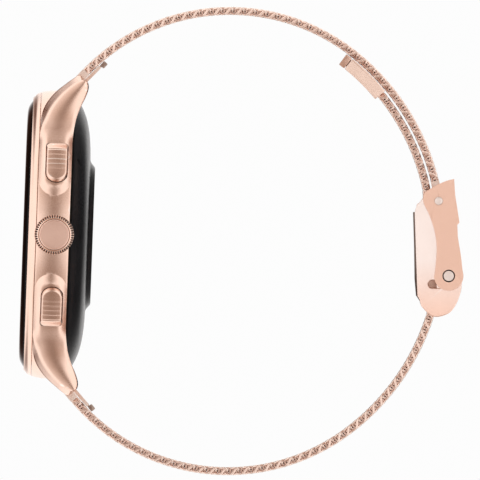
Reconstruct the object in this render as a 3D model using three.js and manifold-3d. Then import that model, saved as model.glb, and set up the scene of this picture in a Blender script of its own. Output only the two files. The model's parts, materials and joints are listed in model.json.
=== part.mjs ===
// Round smartwatch on a woven-mesh strap that closes with a fold-over sliding clasp.
// Millimetres. +X is 3 o'clock (crown side), +Y runs from the display to the wrist, +Z is 12 o'clock.
// The origin is the centre of the flat sensor face that rests on the wrist.
import * as THREE from "three";
import { mergeVertices } from "three/addons/utils/BufferGeometryUtils.js";
import Module from "manifold-3d";

const wasm = await Module();
wasm.setup();

// ---------- driving dimensions ----------
// clearances
const seatGap = 0.05; // between fixed pieces that sit on each other
const runGap = 0.06; // radial gap of a pin that turns in a hole
const sideGap = 0.15; // between flat faces that move past each other
const hingeGap = 0.3; // between strap stretches that bend against each other

// case, stacked along Y from the wrist face forward
const caseRadius = 23.05;
const caseWall = 2.0;
const bumpHeight = 0.77;
const backCoverDepth = 3.0;
const midCaseDepth = 5.28;
const bezelDepth = 1.25;
const glassRise = 0.9;
const glassThickness = 1.5;
const bezelRimWidth = 1.65; // from the glass edge to the case side
const caseEdgeRound = 0.35;
const panelThickness = 0.7;
const gasketThickness = 0.2;
const backGasketThickness = 0.15;

// back cover
const coverWall = 0.9;
const bumpRadius = 10.93;
const bumpBaseRadius = 11.85;
const sensorWindowRadius = 7.0;
const sensorWindowThickness = 0.9;
const coverRimWidth = 3.2; // thick rim that seats in the case bore

// inner pieces
const chassisPlate = 0.8;
const chassisRimInner = 16.9;
const chassisRimOuter = 17.6;
const controlNotch = 4.4; // notch in the chassis for the crown and for each button
const boardThickness = 0.8;
const componentHeight = 0.85;
const batteryClearance = 0.68; // from the battery to the sensor board
const batteryRadius = 13.5;
const sensorBoardThickness = 0.5;

// crown
const crownRadius = 3.25;
const crownTeeth = 48;
const crownToothDepth = 0.18;
const crownLength = 2.6;
const crownGap = 0.8; // case side to knob
const crownRingRadius = 2.45;
const crownDiscRadius = 2.15;
const crownShaftRadius = 0.8;
const crownTubeInner = 1.05;
const crownTubeOuter = 1.5;
const crownTravel = 0.5;

// buttons
const buttonAngle = 30; // degrees above and below the crown
const buttonLength = 7.6;
const buttonWidth = 3.4;
const buttonProud = 1.5; // above the case side
const buttonRecess = 1.05; // pocket depth below the case side
const buttonRibs = 6;
const ribPitch = 0.86;
const ribWidth = 0.46;
const ribHeight = 0.15;
const stemRadius = 0.6;
const clipRadius = 1.2;
const buttonTravel = 0.4;
const padRise = 0.7; // guard pad above the case side
const padEndHeight = 6.2; // where the pad's rounded end stops, above the crown axis

// lugs and spring bars
const strapWidth = 22;
const lugSideGap = 0.2;
const lugThickness = 3.4;
const lugTaper = 0.9; // the lug is this much thinner at its tip
const barReach = 0.95; // spring bar axis beyond the case side
const barBack = 0.77; // spring bar axis behind the mid-case back edge
const barRadius = 0.75;
const barTipRadius = 0.42;
const barTipLength = 1.3;
const tubeWall = 0.24;
const releaseTravel = 1.6;
const releaseFlagInset = 3; // from the strap's edge to the release flag's middle
const releaseFlagWidth = 1.6;
const legThickness = 0.5;
const legLength = 3.5;

// strap
const strapThickness = 1.35;
const strapLayerGap = 0.25;
const strapRootAngle = 48.5; // degrees, direction in which the strap leaves the lug
const strapRootAlong = 2.05; // from the bar axis to the mesh, along that direction
const strapRootOut = 0.055; // from the bar axis to the mesh's wrist face, across it
const nearRadius = 32; // strap radius on the lug side
const nearTurn = 86; // degrees that the near arc turns
const farCentreHeight = 0.848; // centre of the far arc above the crown axis
const strapBends12 = [20, 38, 56]; // distances along the strap where it bends, 12 o'clock side
const strapBends6 = [24, 48];
const tailCapLength = 8.8;
const tailCapThickness = 1.9;
const tailLength = 26.5; // from the clasp to the tail's tip

// clasp, around the lever's pins
const strapPinZ = 7.63;
const leverPinDrop = 11.94; // from the strap pin down to the lever pin
const leverPinOut = 2.04; // from the strap pin outward to the lever pin
const strapPinRadius = 0.45;
const strapPinHead = 0.64;
const leverPinRadius = 0.83;
const baseWall = 0.75;
const cheekThickness = 0.8;
const leverPlate = 0.8;
const basePlate = 0.65;
const baseEntryZ = -9.2;
const flapThickness = 0.6;
const flapPinRadius = 0.4;
const loopPlayUp = 0.6; // room in the strap loop's eye for its pin, toward the strap
const loopPlayDown = 1.05; // and away from the strap
const loopSlack = 0.25; // and across it
const loopWall = 0.28;

// facets
const caseFacets = 60;
const innerFacets = 36;
const pinFacets = 16;

// ---------- derived places ----------
const backFaceY = -bumpHeight;
const caseBackY = backFaceY - backCoverDepth;
const bezelBackY = caseBackY - midCaseDepth;
const bezelFrontY = bezelBackY - bezelDepth;
const glassFrontY = bezelFrontY - glassRise;
const glassBackY = glassFrontY + glassThickness;
const glassRadius = caseRadius - bezelRimWidth;
const boreRadius = caseRadius - caseWall;
const ledgeY = glassBackY + gasketThickness + 2 * seatGap;
const bezelInner = glassRadius - 1;
const axisY = (caseBackY + bezelBackY) / 2 + 0.23; // crown axis
const lugInnerX = strapWidth / 2 + lugSideGap;
const lugOuterX = lugInnerX + lugThickness;
const releaseFlagX = strapWidth / 2 - releaseFlagInset;
const barY = caseBackY + barBack;
const barZ = caseRadius + barReach;
const tubeInner = barRadius + 0.1;
const tubeOuter = tubeInner + tubeWall;
const baseInnerX = strapWidth / 2 + 0.3;
const baseOuterX = baseInnerX + baseWall;
const cheekInnerX = baseOuterX + sideGap;
const cheekOuterX = cheekInnerX + cheekThickness;

// ---------- materials ----------
const roseGold = metal(0xd8a88e, 0.28);
const paleGold = metal(0xf0d5c6, 0.2);
const meshGold = metal(0xcf9f88, 0.38);
const steel = metal(0xb9bcc2, 0.35);
const copper = metal(0xb87347, 0.4);
const darkSteel = metal(0x4b4340, 0.45);
const blackGlass = plastic(0x08080a, 0.05);
const blackPlastic = plastic(0x1c1c1e, 0.45);
const rubberBlack = plastic(0x151515, 0.8);
const boardGreen = plastic(0x1f4a34, 0.6);
const batteryFoil = metal(0x8f949a, 0.5);

function metal(color, roughness) {
  return new THREE.MeshStandardMaterial({ color, roughness, metalness: 1 });
}

function plastic(color, roughness) {
  return new THREE.MeshStandardMaterial({ color, roughness, metalness: 0 });
}

// ---------- solids ----------
const watch = new THREE.Group();

function solid(geometry) {
  const bare = geometry.clone();
  bare.deleteAttribute("normal");
  bare.deleteAttribute("uv");
  const merged = mergeVertices(bare, 1e-5);
  return new wasm.Manifold(new wasm.Mesh({
    numProp: 3,
    vertProperties: new Float32Array(merged.attributes.position.array),
    triVerts: new Uint32Array(merged.index.array),
  }));
}

function geometryOf(body) {
  const data = body.getMesh();
  const geometry = new THREE.BufferGeometry();
  geometry.setAttribute("position", new THREE.BufferAttribute(new Float32Array(data.vertProperties), 3));
  geometry.setIndex(new THREE.BufferAttribute(new Uint32Array(data.triVerts), 1));
  geometry.computeVertexNormals();
  return geometry;
}

function addPart(name, body, material, parent = watch) {
  const mesh = new THREE.Mesh(geometryOf(body), material);
  mesh.name = name;
  parent.add(mesh);
}

// Side outline drawn in the Y-Z plane, thickened along X from x0 to x1.
function sidePlate(points, x0, x1, holes = []) {
  const shape = new THREE.Shape(points.map(([y, z]) => new THREE.Vector2(y, z)));
  shape.holes = holes.map((loop) => new THREE.Path(loop.map(([y, z]) => new THREE.Vector2(y, z))));
  const geometry = new THREE.ExtrudeGeometry(shape, { depth: x1 - x0, bevelEnabled: false });
  return solid(turnToSide(geometry).translate(x0, 0, 0));
}

// Plan outline drawn in the X-Z plane, thickened along Y from y0 to y1.
function planPlate(points, y0, y1) {
  const shape = new THREE.Shape(points.map(([x, z]) => new THREE.Vector2(x, z)));
  const geometry = new THREE.ExtrudeGeometry(shape, { depth: y1 - y0, bevelEnabled: false });
  return solid(geometry.rotateX(Math.PI / 2).translate(0, y1, 0));
}

function turnToSide(geometry) {
  const basis = new THREE.Matrix4().makeBasis(
    new THREE.Vector3(0, 1, 0), new THREE.Vector3(0, 0, 1), new THREE.Vector3(1, 0, 0));
  return geometry.applyMatrix4(basis);
}

// Profile of [radius, y] points turned about the Y axis; it may run either way round.
function turned(profile, facets = caseFacets) {
  const points = profile.map(([r, y]) => new THREE.Vector2(r, y));
  if (THREE.ShapeUtils.isClockWise(points)) {
    points.reverse();
  }
  return solid(new THREE.LatheGeometry(points, facets));
}

function ring(inner, outer, y0, y1, facets = caseFacets) {
  return turned([[inner, y0], [outer, y0], [outer, y1], [inner, y1], [inner, y0]], facets);
}

function disc(radius, y0, y1, facets = caseFacets) {
  return turned([[0, y0], [radius, y0], [radius, y1], [0, y1]], facets);
}

// Cylinder or tube along X, centred on (y, z).
function rod(radius, x0, x1, y, z, facets = pinFacets) {
  const profile = [[0, x0], [radius, x0], [radius, x1], [0, x1]];
  const points = profile.map(([r, x]) => new THREE.Vector2(r, x));
  const geometry = new THREE.LatheGeometry(points, facets).rotateZ(-Math.PI / 2).translate(0, y, z);
  return solid(geometry);
}

function tube(inner, outer, x0, x1, y, z, facets = pinFacets) {
  return rod(outer, x0, x1, y, z, facets).subtract(rod(inner, x0 - 1, x1 + 1, y, z, facets));
}

function box(x0, x1, y0, y1, z0, z1) {
  const geometry = new THREE.BoxGeometry(x1 - x0, y1 - y0, z1 - z0);
  return solid(geometry.translate((x0 + x1) / 2, (y0 + y1) / 2, (z0 + z1) / 2));
}

function arcPoints(cy, cz, radius, from, to, steps) {
  const points = [];
  for (let i = 0; i <= steps; i += 1) {
    const angle = THREE.MathUtils.degToRad(from + (to - from) * i / steps);
    points.push([cy + radius * Math.cos(angle), cz + radius * Math.sin(angle)]);
  }
  return points;
}

// Round-ended slot outline between two points of the Y-Z plane.
function slotOutline(a, b, radius, steps = 10) {
  const tilt = THREE.MathUtils.radToDeg(Math.atan2(b[1] - a[1], b[0] - a[0]));
  return [
    ...arcPoints(b[0], b[1], radius, tilt - 90, tilt + 90, steps),
    ...arcPoints(a[0], a[1], radius, tilt + 90, tilt + 270, steps),
  ];
}

// Smooth outline through hand-set points.
function smooth(points, samples) {
  const curve = new THREE.SplineCurve(points.map(([y, z]) => new THREE.Vector2(y, z)));
  return curve.getPoints(samples).map((p) => [p.x, p.y]);
}

function mirrorZ(body) {
  return body.mirror([0, 0, 1]);
}

// ---------- case ----------
function caseSideProfile() {
  return [
    [0, bezelBackY],
    [caseRadius - caseEdgeRound, bezelBackY],
    [caseRadius, bezelBackY + 1.4],
    [caseRadius, caseBackY - 1.2],
    [caseRadius - caseEdgeRound, caseBackY],
    [0, caseBackY],
  ];
}

// One lug: its front edge sweeps from the case front to the tip, its back edge returns to the case back.
function lug() {
  const tipZ = barZ + 1.75;
  const front = smooth([
    [bezelBackY, barZ - 7.4],
    [bezelBackY + 0.25, barZ - 4.4],
    [bezelBackY + 1.95, barZ - 1.55],
    [barY - 1.25, barZ + 0.85],
    [barY + 0.1, tipZ],
  ], 12);
  const back = smooth([
    [barY + 1.0, tipZ - 0.55],
    [barY + 1.45, barZ - 0.1],
    [barY + 1.1, barZ - 1.8],
    [caseBackY + 0.5, barZ - 4.9],
    [caseBackY, barZ - 9],
  ], 10);
  const innerX = lugInnerX;
  const rootX = Math.sqrt(caseRadius ** 2 - (barZ - 9) ** 2);
  const blank = sidePlate([...front, ...back], innerX, rootX);
  const plan = planPlate([
    [innerX - 1, 0],
    [rootX, 0],
    [rootX, barZ - 9],
    [lugOuterX + 2.05, barZ - 7],
    [lugOuterX + 0.8, barZ - 5],
    [lugOuterX, barZ - 3],
    [lugOuterX - lugTaper / 2, barZ - 1],
    [lugOuterX - lugTaper, tipZ + 1],
    [innerX - 1, tipZ + 1],
  ], bezelBackY - 1, barY + 5);
  return blank.intersect(plan);
}

// Raised pad around a button, from its rounded end near the crown up to the lug.
function guardPad() {
  const y0 = bezelBackY + 0.02;
  const y1 = caseBackY - 0.02;
  const middle = (y0 + y1) / 2;
  const half = (y1 - y0) / 2;
  const outline = [
    ...arcPoints(middle, padEndHeight + half, half, 180, 360, 12),
    [y1, barZ - 4],
    [y0, barZ - 4],
  ];
  const band = ring(caseRadius - 1, caseRadius + padRise, y0, y1);
  return band.intersect(sidePlate(outline, 5, caseRadius + 5));
}

function buttonPill(length, width, x0, x1) {
  const half = (length - width) / 2;
  return sidePlate(slotOutline([axisY, -half], [axisY, half], width / 2), x0, x1);
}

function atButton(body, side) {
  return body.rotate([0, -side * buttonAngle, 0]);
}

function upright(body, x, z) {
  return body.translate([x, 0, z]);
}

function midCase() {
  let body = turned(caseSideProfile());
  for (const end of [lug(), guardPad()]) {
    body = body.add(end).add(mirrorZ(end));
  }
  const farLug = lug().mirror([1, 0, 0]);
  body = body.add(farLug).add(mirrorZ(farLug));
  body = body.subtract(disc(boreRadius, bezelBackY - 1, caseBackY + 1));
  body = body.subtract(disc(caseRadius - 0.6, caseBackY, caseBackY + 5));
  body = body.subtract(disc(caseRadius + 9, bezelBackY - 3, bezelBackY));
  body = body.subtract(rod(crownTubeOuter + seatGap, boreRadius - 2, caseRadius + 5, axisY, 0));
  for (const side of [1, -1]) {
    const floor = caseRadius - buttonRecess;
    const pocket = buttonPill(buttonLength + 0.2, buttonWidth + 0.2, floor, caseRadius + 5);
    const stemHole = rod(stemRadius + runGap, boreRadius - 3, caseRadius, axisY, 0);
    body = body.subtract(atButton(pocket.add(stemHole), side));
    const hole = rod(barTipRadius + runGap, -lugInnerX - barTipLength - 0.3, lugInnerX + barTipLength + 0.3,
      barY, side * barZ);
    body = body.subtract(hole);
  }
  return body;
}

function bezel() {
  const back = bezelBackY - seatGap;
  const groove = caseRadius - caseEdgeRound - 0.1;
  return turned([
    [bezelInner, ledgeY],
    [glassRadius + seatGap, ledgeY],
    [glassRadius + seatGap, bezelFrontY],
    [glassRadius + 0.4, bezelFrontY],
    [glassRadius + 0.95, bezelFrontY + 0.45],
    [groove, back],
    [boreRadius - seatGap, back],
    [boreRadius - seatGap, back + 0.8],
    [bezelInner, back + 0.8],
    [bezelInner, ledgeY],
  ]);
}

function frontGlass() {
  const edge = glassRadius;
  return turned([
    [0, glassFrontY],
    [edge - 2.1, glassFrontY],
    [edge - 1.1, glassFrontY + 0.2],
    [edge - 0.4, glassFrontY + 0.6],
    [edge, glassFrontY + 0.9],
    [edge, glassBackY],
    [0, glassBackY],
  ]);
}

// The cover's outside falls away from the sensor bump in a shallow bowl.
const coverEdgeRadius = caseRadius - 0.75;
const coverSeatY = caseBackY + backGasketThickness + 2 * seatGap;
const coverInnerY = backFaceY - coverWall;
const coverInnerRimY = axisY + crownTubeOuter + 0.06;
const coverRimInner = boreRadius - seatGap - coverRimWidth;

function backCover() {
  const body = turned([
    [0, 0],
    [bumpRadius, 0],
    [bumpBaseRadius, backFaceY],
    [coverEdgeRadius - 4.6, backFaceY - 0.42],
    [coverEdgeRadius - 2.5, backFaceY - 1.15],
    [coverEdgeRadius - 1.1, backFaceY - 1.95],
    [coverEdgeRadius, coverSeatY],
    [boreRadius - seatGap, coverSeatY],
    [boreRadius - seatGap, coverInnerRimY],
    [coverRimInner, coverInnerRimY],
    [coverRimInner, coverInnerY - 0.9],
    [bumpBaseRadius, coverInnerY],
    [0, coverInnerY],
  ]);
  return body.subtract(disc(sensorWindowRadius + seatGap, coverInnerY - 1, 1, 48));
}

function addCase() {
  addPart("mid_case", midCase(), roseGold);
  addPart("bezel", bezel(), roseGold);
  addPart("front_glass", frontGlass(), blackGlass);
  addPart("display_gasket", ring(bezelInner + 0.1, glassRadius - 0.1, glassBackY + seatGap,
    ledgeY - seatGap, innerFacets), rubberBlack);
  addPart("display_panel", disc(bezelInner - 0.6, glassBackY + seatGap,
    glassBackY + seatGap + panelThickness, innerFacets), blackGlass);
  addPart("back_cover", backCover(), blackPlastic);
  addPart("back_gasket", ring(boreRadius + 0.15, coverEdgeRadius - 0.3, caseBackY + seatGap,
    coverSeatY - seatGap, innerFacets), rubberBlack);
  addPart("sensor_window", disc(sensorWindowRadius, -sensorWindowThickness, 0, 48), blackGlass);
}

// ---------- inner pieces ----------
const chassisFrontY = glassBackY + panelThickness + 0.85;
const chassisBackY = chassisFrontY + chassisPlate;
const boardFrontY = chassisBackY + seatGap;
const boardBackY = boardFrontY + boardThickness;
const batteryFrontY = boardBackY + componentHeight + 0.15;
const batteryBackY = coverInnerY - seatGap - sensorBoardThickness - batteryClearance;

function innerChassis() {
  const plate = disc(boreRadius - 0.25, chassisFrontY, chassisBackY);
  const rim = ring(chassisRimInner, chassisRimOuter, chassisBackY - 0.2, batteryBackY);
  const notch = box(chassisRimOuter, caseRadius, chassisFrontY - 1, chassisBackY + 1,
    -controlNotch / 2, controlNotch / 2);
  let body = plate.add(rim).subtract(notch);
  for (const side of [1, -1]) {
    body = body.subtract(atButton(notch, side));
  }
  return body;
}

function addInside() {
  addPart("inner_chassis", innerChassis(), blackPlastic);
  addPart("main_board", disc(chassisRimInner - 0.2, boardFrontY, boardBackY, innerFacets), boardGreen);
  const partsFront = boardBackY + seatGap;
  const partsBack = partsFront + componentHeight - 0.1;
  addPart("processor_shield", box(-7, 3, partsFront, partsBack, -5, 5), steel);
  addPart("vibration_motor", upright(disc(2.6, partsFront, partsBack, pinFacets), -10.5, -9.5), steel);
  addPart("speaker_module", box(-13.5, -8.5, partsFront, partsBack, 3, 9), blackPlastic);
  addPart("battery", disc(batteryRadius, batteryFrontY, batteryBackY, innerFacets), batteryFoil);
  const sensorBack = coverInnerY - seatGap;
  addPart("sensor_board", disc(sensorWindowRadius - 0.4, sensorBack - sensorBoardThickness, sensorBack, innerFacets),
    boardGreen);
  addPart("charging_coil", ring(sensorWindowRadius + 0.2, bumpRadius - 0.4,
    sensorBack - sensorBoardThickness, sensorBack, innerFacets), copper);
}

// ---------- crown ----------
function toothedDisc(radius, x0, x1) {
  const points = [];
  for (let i = 0; i < crownTeeth * 2; i += 1) {
    const angle = Math.PI * i / crownTeeth;
    const reach = radius - (i % 2) * crownToothDepth;
    points.push([axisY + reach * Math.cos(angle), reach * Math.sin(angle)]);
  }
  return sidePlate(points, x0, x1);
}

function addCrown() {
  const knobBack = caseRadius + crownGap;
  const knobFront = knobBack + crownLength;
  const tubeEnd = caseRadius + crownGap - crownTravel;
  addPart("crown_tube", tube(crownTubeInner, crownTubeOuter, boreRadius - 0.8, tubeEnd, axisY, 0), steel);
  const recess = rod(crownTubeOuter + 0.25, knobBack - 1, knobBack + 0.9, axisY, 0);
  const knob = toothedDisc(crownRadius, knobBack, knobFront - 0.35)
    .add(rod(crownRadius - 0.35, knobFront - 0.5, knobFront - 0.12, axisY, 0, 48))
    .subtract(rod(crownRingRadius, knobFront - 0.6, knobFront + 1, axisY, 0, 48))
    .subtract(recess);
  addPart("crown_knob", knob, roseGold);
  const cap = rod(crownRingRadius - seatGap, knobFront - 0.55, knobFront, axisY, 0, 48)
    .subtract(tube(crownDiscRadius, crownDiscRadius + 0.12, knobFront - 0.12, knobFront + 1, axisY, 0, 48));
  addPart("crown_cap", cap, roseGold);
  const shaftInner = boreRadius - 0.9;
  const grooved = rod(crownShaftRadius, shaftInner, knobBack + 0.85, axisY, 0)
    .subtract(tube(crownShaftRadius - 0.2, 2, boreRadius, boreRadius + 0.5, axisY, 0));
  addPart("crown_shaft", grooved, steel);
  addPart("crown_o_ring", tube(crownShaftRadius - 0.15, crownTubeInner - 0.04, boreRadius + 0.05,
    boreRadius + 0.45, axisY, 0), rubberBlack);
  addPart("crown_plunger", rod(crownShaftRadius, shaftInner - 0.7, shaftInner - seatGap, axisY, 0), steel);
  const switchFace = shaftInner - 0.7 - crownTravel - 0.1;
  addPart("crown_switch", box(chassisRimOuter + 0.1, switchFace, axisY - 1, axisY + 1, -1.6, 1.6), blackPlastic);
}

// ---------- buttons ----------
function buttonCap() {
  const top = caseRadius + buttonProud;
  let body = buttonPill(buttonLength, buttonWidth, caseRadius - buttonRecess + buttonTravel + 0.1, top);
  for (let i = 0; i < buttonRibs; i += 1) {
    const z = (i - (buttonRibs - 1) / 2) * ribPitch;
    const half = buttonWidth / 2 - 0.35;
    body = body.add(box(top - 0.1, top + ribHeight, axisY - half, axisY + half,
      z - ribWidth / 2, z + ribWidth / 2));
  }
  return body.add(rod(stemRadius, boreRadius - 1.6, top - 1, axisY, 0));
}

function addButton(name, side) {
  const clip = tube(stemRadius + seatGap, clipRadius, boreRadius - 0.55, boreRadius - 0.15, axisY, 0);
  const stemEnd = boreRadius - 1.6;
  const switchBody = box(chassisRimOuter + 0.15, stemEnd - buttonTravel - 0.1, axisY - 1, axisY + 1, -1.3, 1.3);
  const side3 = (body) => atButton(body, side);
  addPart(`${name}_button_cap`, side3(buttonCap()), roseGold);
  addPart(`${name}_button_clip`, side3(clip), steel);
  addPart(`${name}_button_switch`, side3(switchBody), blackPlastic);
}

// ---------- strap path ----------
// A path is a list of {y, z, angle, s} samples in the Y-Z plane, for the 12 o'clock side.
const rootAngle = THREE.MathUtils.degToRad(strapRootAngle);
const along = [Math.cos(rootAngle), Math.sin(rootAngle)];
const across = [-Math.sin(rootAngle), Math.cos(rootAngle)];

const rootMiddle = strapRootOut + strapThickness / 2;

function fromBar(d, n) {
  return [barY + along[0] * d + across[0] * n, barZ + along[1] * d + across[1] * n];
}

function advance(point, length, radius) {
  const angle = point.angle - length / radius;
  return {
    y: point.y - radius * (Math.sin(angle) - Math.sin(point.angle)),
    z: point.z + radius * (Math.cos(angle) - Math.cos(point.angle)),
    angle,
    s: point.s + length,
  };
}

const [rootY, rootZ] = fromBar(strapRootAlong, rootMiddle);
const strapRoot = { y: rootY, z: rootZ, angle: rootAngle, s: 0 };
const nearLength = nearRadius * THREE.MathUtils.degToRad(nearTurn);
const endAngle = rootAngle - THREE.MathUtils.degToRad(nearTurn);
const farRadius = (rootZ - farCentreHeight - nearRadius * (Math.cos(rootAngle) - Math.cos(endAngle)))
  / Math.cos(endAngle);
const farStart = advance(strapRoot, nearLength, nearRadius);
const farCentre = [
  farStart.y - farRadius * Math.cos(farStart.angle + Math.PI / 2),
  farStart.z - farRadius * Math.sin(farStart.angle + Math.PI / 2),
];

// Distance along the strap where its far arc comes down to height z.
function distanceAtHeight(z) {
  const direction = Math.asin((z - farCentre[1]) / farRadius);
  return farStart.s + farRadius * (farStart.angle + Math.PI / 2 - direction);
}

function pointAt(s) {
  if (s <= nearLength) {
    return advance(strapRoot, s, nearRadius);
  }
  return advance(farStart, s - nearLength, farRadius);
}

function offset(point, distance) {
  const normal = point.angle + Math.PI / 2;
  return [point.y + distance * Math.cos(normal), point.z + distance * Math.sin(normal)];
}

function stretchPoints(s0, s1) {
  const steps = Math.max(2, Math.ceil((s1 - s0) / 3));
  return Array.from({ length: steps + 1 }, (_, i) => pointAt(s0 + (s1 - s0) * i / steps));
}

function ribbon(points, outer, inner, halfWidth) {
  const front = points.map((p) => offset(p, outer));
  const back = points.map((p) => offset(p, inner)).reverse();
  return sidePlate([...back.reverse(), ...front.reverse()], -halfWidth, halfWidth);
}

function strapStretch(s0, s1) {
  return ribbon(stretchPoints(s0, s1), strapThickness / 2, -strapThickness / 2, strapWidth / 2);
}

// ---------- strap end at the lug ----------
function strapEnd(side) {
  const half = strapThickness / 2;
  const width = strapWidth / 2;
  const shoulder = sidePlate([
    fromBar(0, -0.55), fromBar(1, -0.55), fromBar(1, strapRootOut), fromBar(1.95, strapRootOut),
    fromBar(1.95, rootMiddle + half), fromBar(0.4, rootMiddle + half), fromBar(-0.5, 0.5),
  ], -width, width);
  const leg = sidePlate([
    fromBar(0.6, -legThickness), fromBar(1 + legLength, -legThickness - 0.1),
    fromBar(1 + legLength, -0.1), fromBar(0.6, 0),
  ], -width + 1, width - 1);
  const flagSlot = sidePlate([fromBar(0, -2), fromBar(6, -2), fromBar(6, 0.02), fromBar(0, 0.02)],
    releaseFlagX - releaseFlagWidth / 2 - releaseTravel - 0.15, releaseFlagX + releaseFlagWidth / 2 + 0.15);
  const body = rod(tubeOuter, -width, width, barY, barZ).add(shoulder).add(leg)
    .subtract(rod(tubeInner, -width - 1, width + 1, barY, barZ)).subtract(flagSlot);
  return side > 0 ? body : mirrorZ(body);
}

function springBar(side) {
  const end = lugInnerX - 0.1;
  const bar = rod(barRadius, -end, releaseFlagX - releaseTravel - 2.2, barY, barZ)
    .add(rod(barTipRadius, -end - barTipLength, -end + 1, barY, barZ));
  return side > 0 ? bar : mirrorZ(bar);
}

function releasePin(side) {
  const end = lugInnerX - 0.1;
  const half = releaseFlagWidth / 2;
  const arm = sidePlate([fromBar(0, -0.45), fromBar(5.2, -0.55), fromBar(5.2, -0.2), fromBar(0, -0.1)],
    releaseFlagX - half, releaseFlagX + half);
  const knob = sidePlate([fromBar(4.6, -0.95), fromBar(5.6, -0.95), fromBar(5.6, -0.15), fromBar(4.6, -0.15)],
    releaseFlagX - half - 0.1, releaseFlagX + half);
  const pin = rod(barRadius, releaseFlagX - 2, end, barY, barZ)
    .add(rod(barTipRadius, end - 1, end + barTipLength, barY, barZ)).add(arm).add(knob);
  return side > 0 ? pin : mirrorZ(pin);
}

function addStrapRoot(label, side) {
  addPart(`strap_end_${label}`, strapEnd(side), roseGold);
  addPart(`spring_bar_${label}`, springBar(side), steel);
  addPart(`quick_release_pin_${label}`, releasePin(side), steel);
}

// ---------- strap mesh ----------
const strapPinS = distanceAtHeight(strapPinZ);
const strapPin = pointAt(strapPinS);
const leverPin = { y: strapPin.y + leverPinOut, z: strapPinZ - leverPinDrop };
const entryS = distanceAtHeight(-baseEntryZ);
const meshEndS = strapPinS - 3.1;
const letters = ["a", "b", "c", "d"];

function addMesh12() {
  const cuts = [0, ...strapBends12, meshEndS];
  for (let i = 0; i + 1 < cuts.length; i += 1) {
    const from = i === 0 ? 0.05 : cuts[i] + hingeGap / 2;
    const to = i + 2 === cuts.length ? cuts[i + 1] : cuts[i + 1] - hingeGap / 2;
    addPart(`strap_12_${letters[i]}`, strapStretch(from, to), meshGold);
  }
}

function addMesh6() {
  const cuts = [0, ...strapBends6, entryS];
  for (let i = 0; i + 1 < cuts.length; i += 1) {
    const from = i === 0 ? 0.05 : cuts[i] + hingeGap / 2;
    const to = i + 2 === cuts.length ? cuts[i + 1] - seatGap : cuts[i + 1] - hingeGap / 2;
    addPart(`strap_6_${letters[i]}`, mirrorZ(strapStretch(from, to)), meshGold);
  }
}

// The tail runs along the inside of the 12 o'clock strap, one layer in.
const tailStep = strapThickness + strapLayerGap;
const tailStartS = distanceAtHeight(-baseEntryZ + 0.6);

function addTail() {
  const half = strapThickness / 2;
  const capStart = tailStartS - tailLength + tailCapLength;
  const capEnd = tailStartS - tailLength;
  const tail = ribbon(stretchPoints(capStart + seatGap, tailStartS - seatGap), half - tailStep, -half - tailStep,
    strapWidth / 2);
  addPart("strap_6_tail", tail, meshGold);
  const capOut = half - tailStep + (tailCapThickness - strapThickness) / 2 - 0.1;
  const cap = ribbon(stretchPoints(capEnd, capStart - seatGap), capOut, capOut - tailCapThickness,
    strapWidth / 2 + 0.2);
  addPart("strap_tail_cap", cap, paleGold);
  const low = pointAt(entryS);
  const high = pointAt(tailStartS);
  const [highY, highZ] = offset(high, -tailStep);
  const clamped = straightBand([low.y, -low.z], [highY, highZ], half, strapWidth / 2);
  addPart("strap_6_clasp", clamped, meshGold);
}

function straightBand(a, b, half, halfWidth) {
  const length = Math.hypot(b[0] - a[0], b[1] - a[1]);
  const t = [(b[0] - a[0]) / length, (b[1] - a[1]) / length];
  const n = [t[1], -t[0]];
  const corner = (p, alongBy, side) => [p[0] + t[0] * alongBy + n[0] * side, p[1] + t[1] * alongBy + n[1] * side];
  return sidePlate([corner(a, 0.25, -half), corner(a, 0.25, half), corner(b, -0.2, half), corner(b, -0.2, -half)],
    -halfWidth, halfWidth);
}

// Line that the clamped strap follows through the clasp, as its outward (+Y) place at a height z.
function clampedY(z) {
  const low = pointAt(entryS);
  const [highY, highZ] = offset(pointAt(tailStartS), -tailStep);
  return low.y + (highY - low.y) * (z + low.z) / (highZ + low.z);
}

// ---------- clasp ----------
// Outlines are set out from the strap pin's Y and from the middle of the clasp in Z.
function fromPin(points) {
  return points.map(([y, z]) => [strapPin.y + y, z]);
}

const leverEndRadius = 2.35;
const leverPlateLowZ = leverPin.z + 1.75;

function cheekOutline() {
  const round = arcPoints(leverPin.y, leverPin.z, leverEndRadius, 20, -170, 16);
  return [
    ...fromPin([[-2.45, 8.7], [-0.57, 10.17], [1.0, 10.95], [2.35, 11.24], [2.6, 8.68], [3.1, 6.14],
      [3.45, 4.31], [3.12, 3.9], [3.25, 2.14], [3.85, -0.88]]),
    ...round,
    ...fromPin([[-0.11, -2.62], [-0.05, 0.1], [-0.46, 2.65], [-1.35, 5.18], [-2.4, 7.22]]),
  ];
}

function leverPlateOutline() {
  const outer = fromPin([[2.35, 11.24], [2.6, 8.68], [3.1, 6.14], [3.45, 4.31], [3.12, 3.9], [3.25, 2.14],
    [3.85, -0.88], [4.06, leverPlateLowZ]]);
  const inner = fromPin([[4.06 - leverPlate, leverPlateLowZ], [3.85 - leverPlate, -0.88],
    [3.25 - leverPlate, 2.14], [3.12 - leverPlate, 3.9], [2.6 - leverPlate, 8.68], [1.55, 11.05]]);
  return [...outer, ...inner].reverse();
}

function claspLever() {
  const outline = cheekOutline().reverse();
  const cheek = sidePlate(outline, cheekInnerX, cheekOuterX);
  let body = sidePlate(leverPlateOutline(), -cheekOuterX, cheekOuterX).add(cheek).add(cheek.mirror([1, 0, 0]));
  body = body.subtract(rod(strapPinRadius + seatGap, -20, 20, strapPin.y, strapPin.z));
  body = body.subtract(rod(leverPinRadius + runGap, -20, 20, leverPin.y, leverPin.z));
  const headSeat = rod(strapPinHead + seatGap, cheekOuterX - 0.3, 20, strapPin.y, strapPin.z);
  return body.subtract(headSeat).subtract(headSeat.mirror([1, 0, 0]));
}

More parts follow.
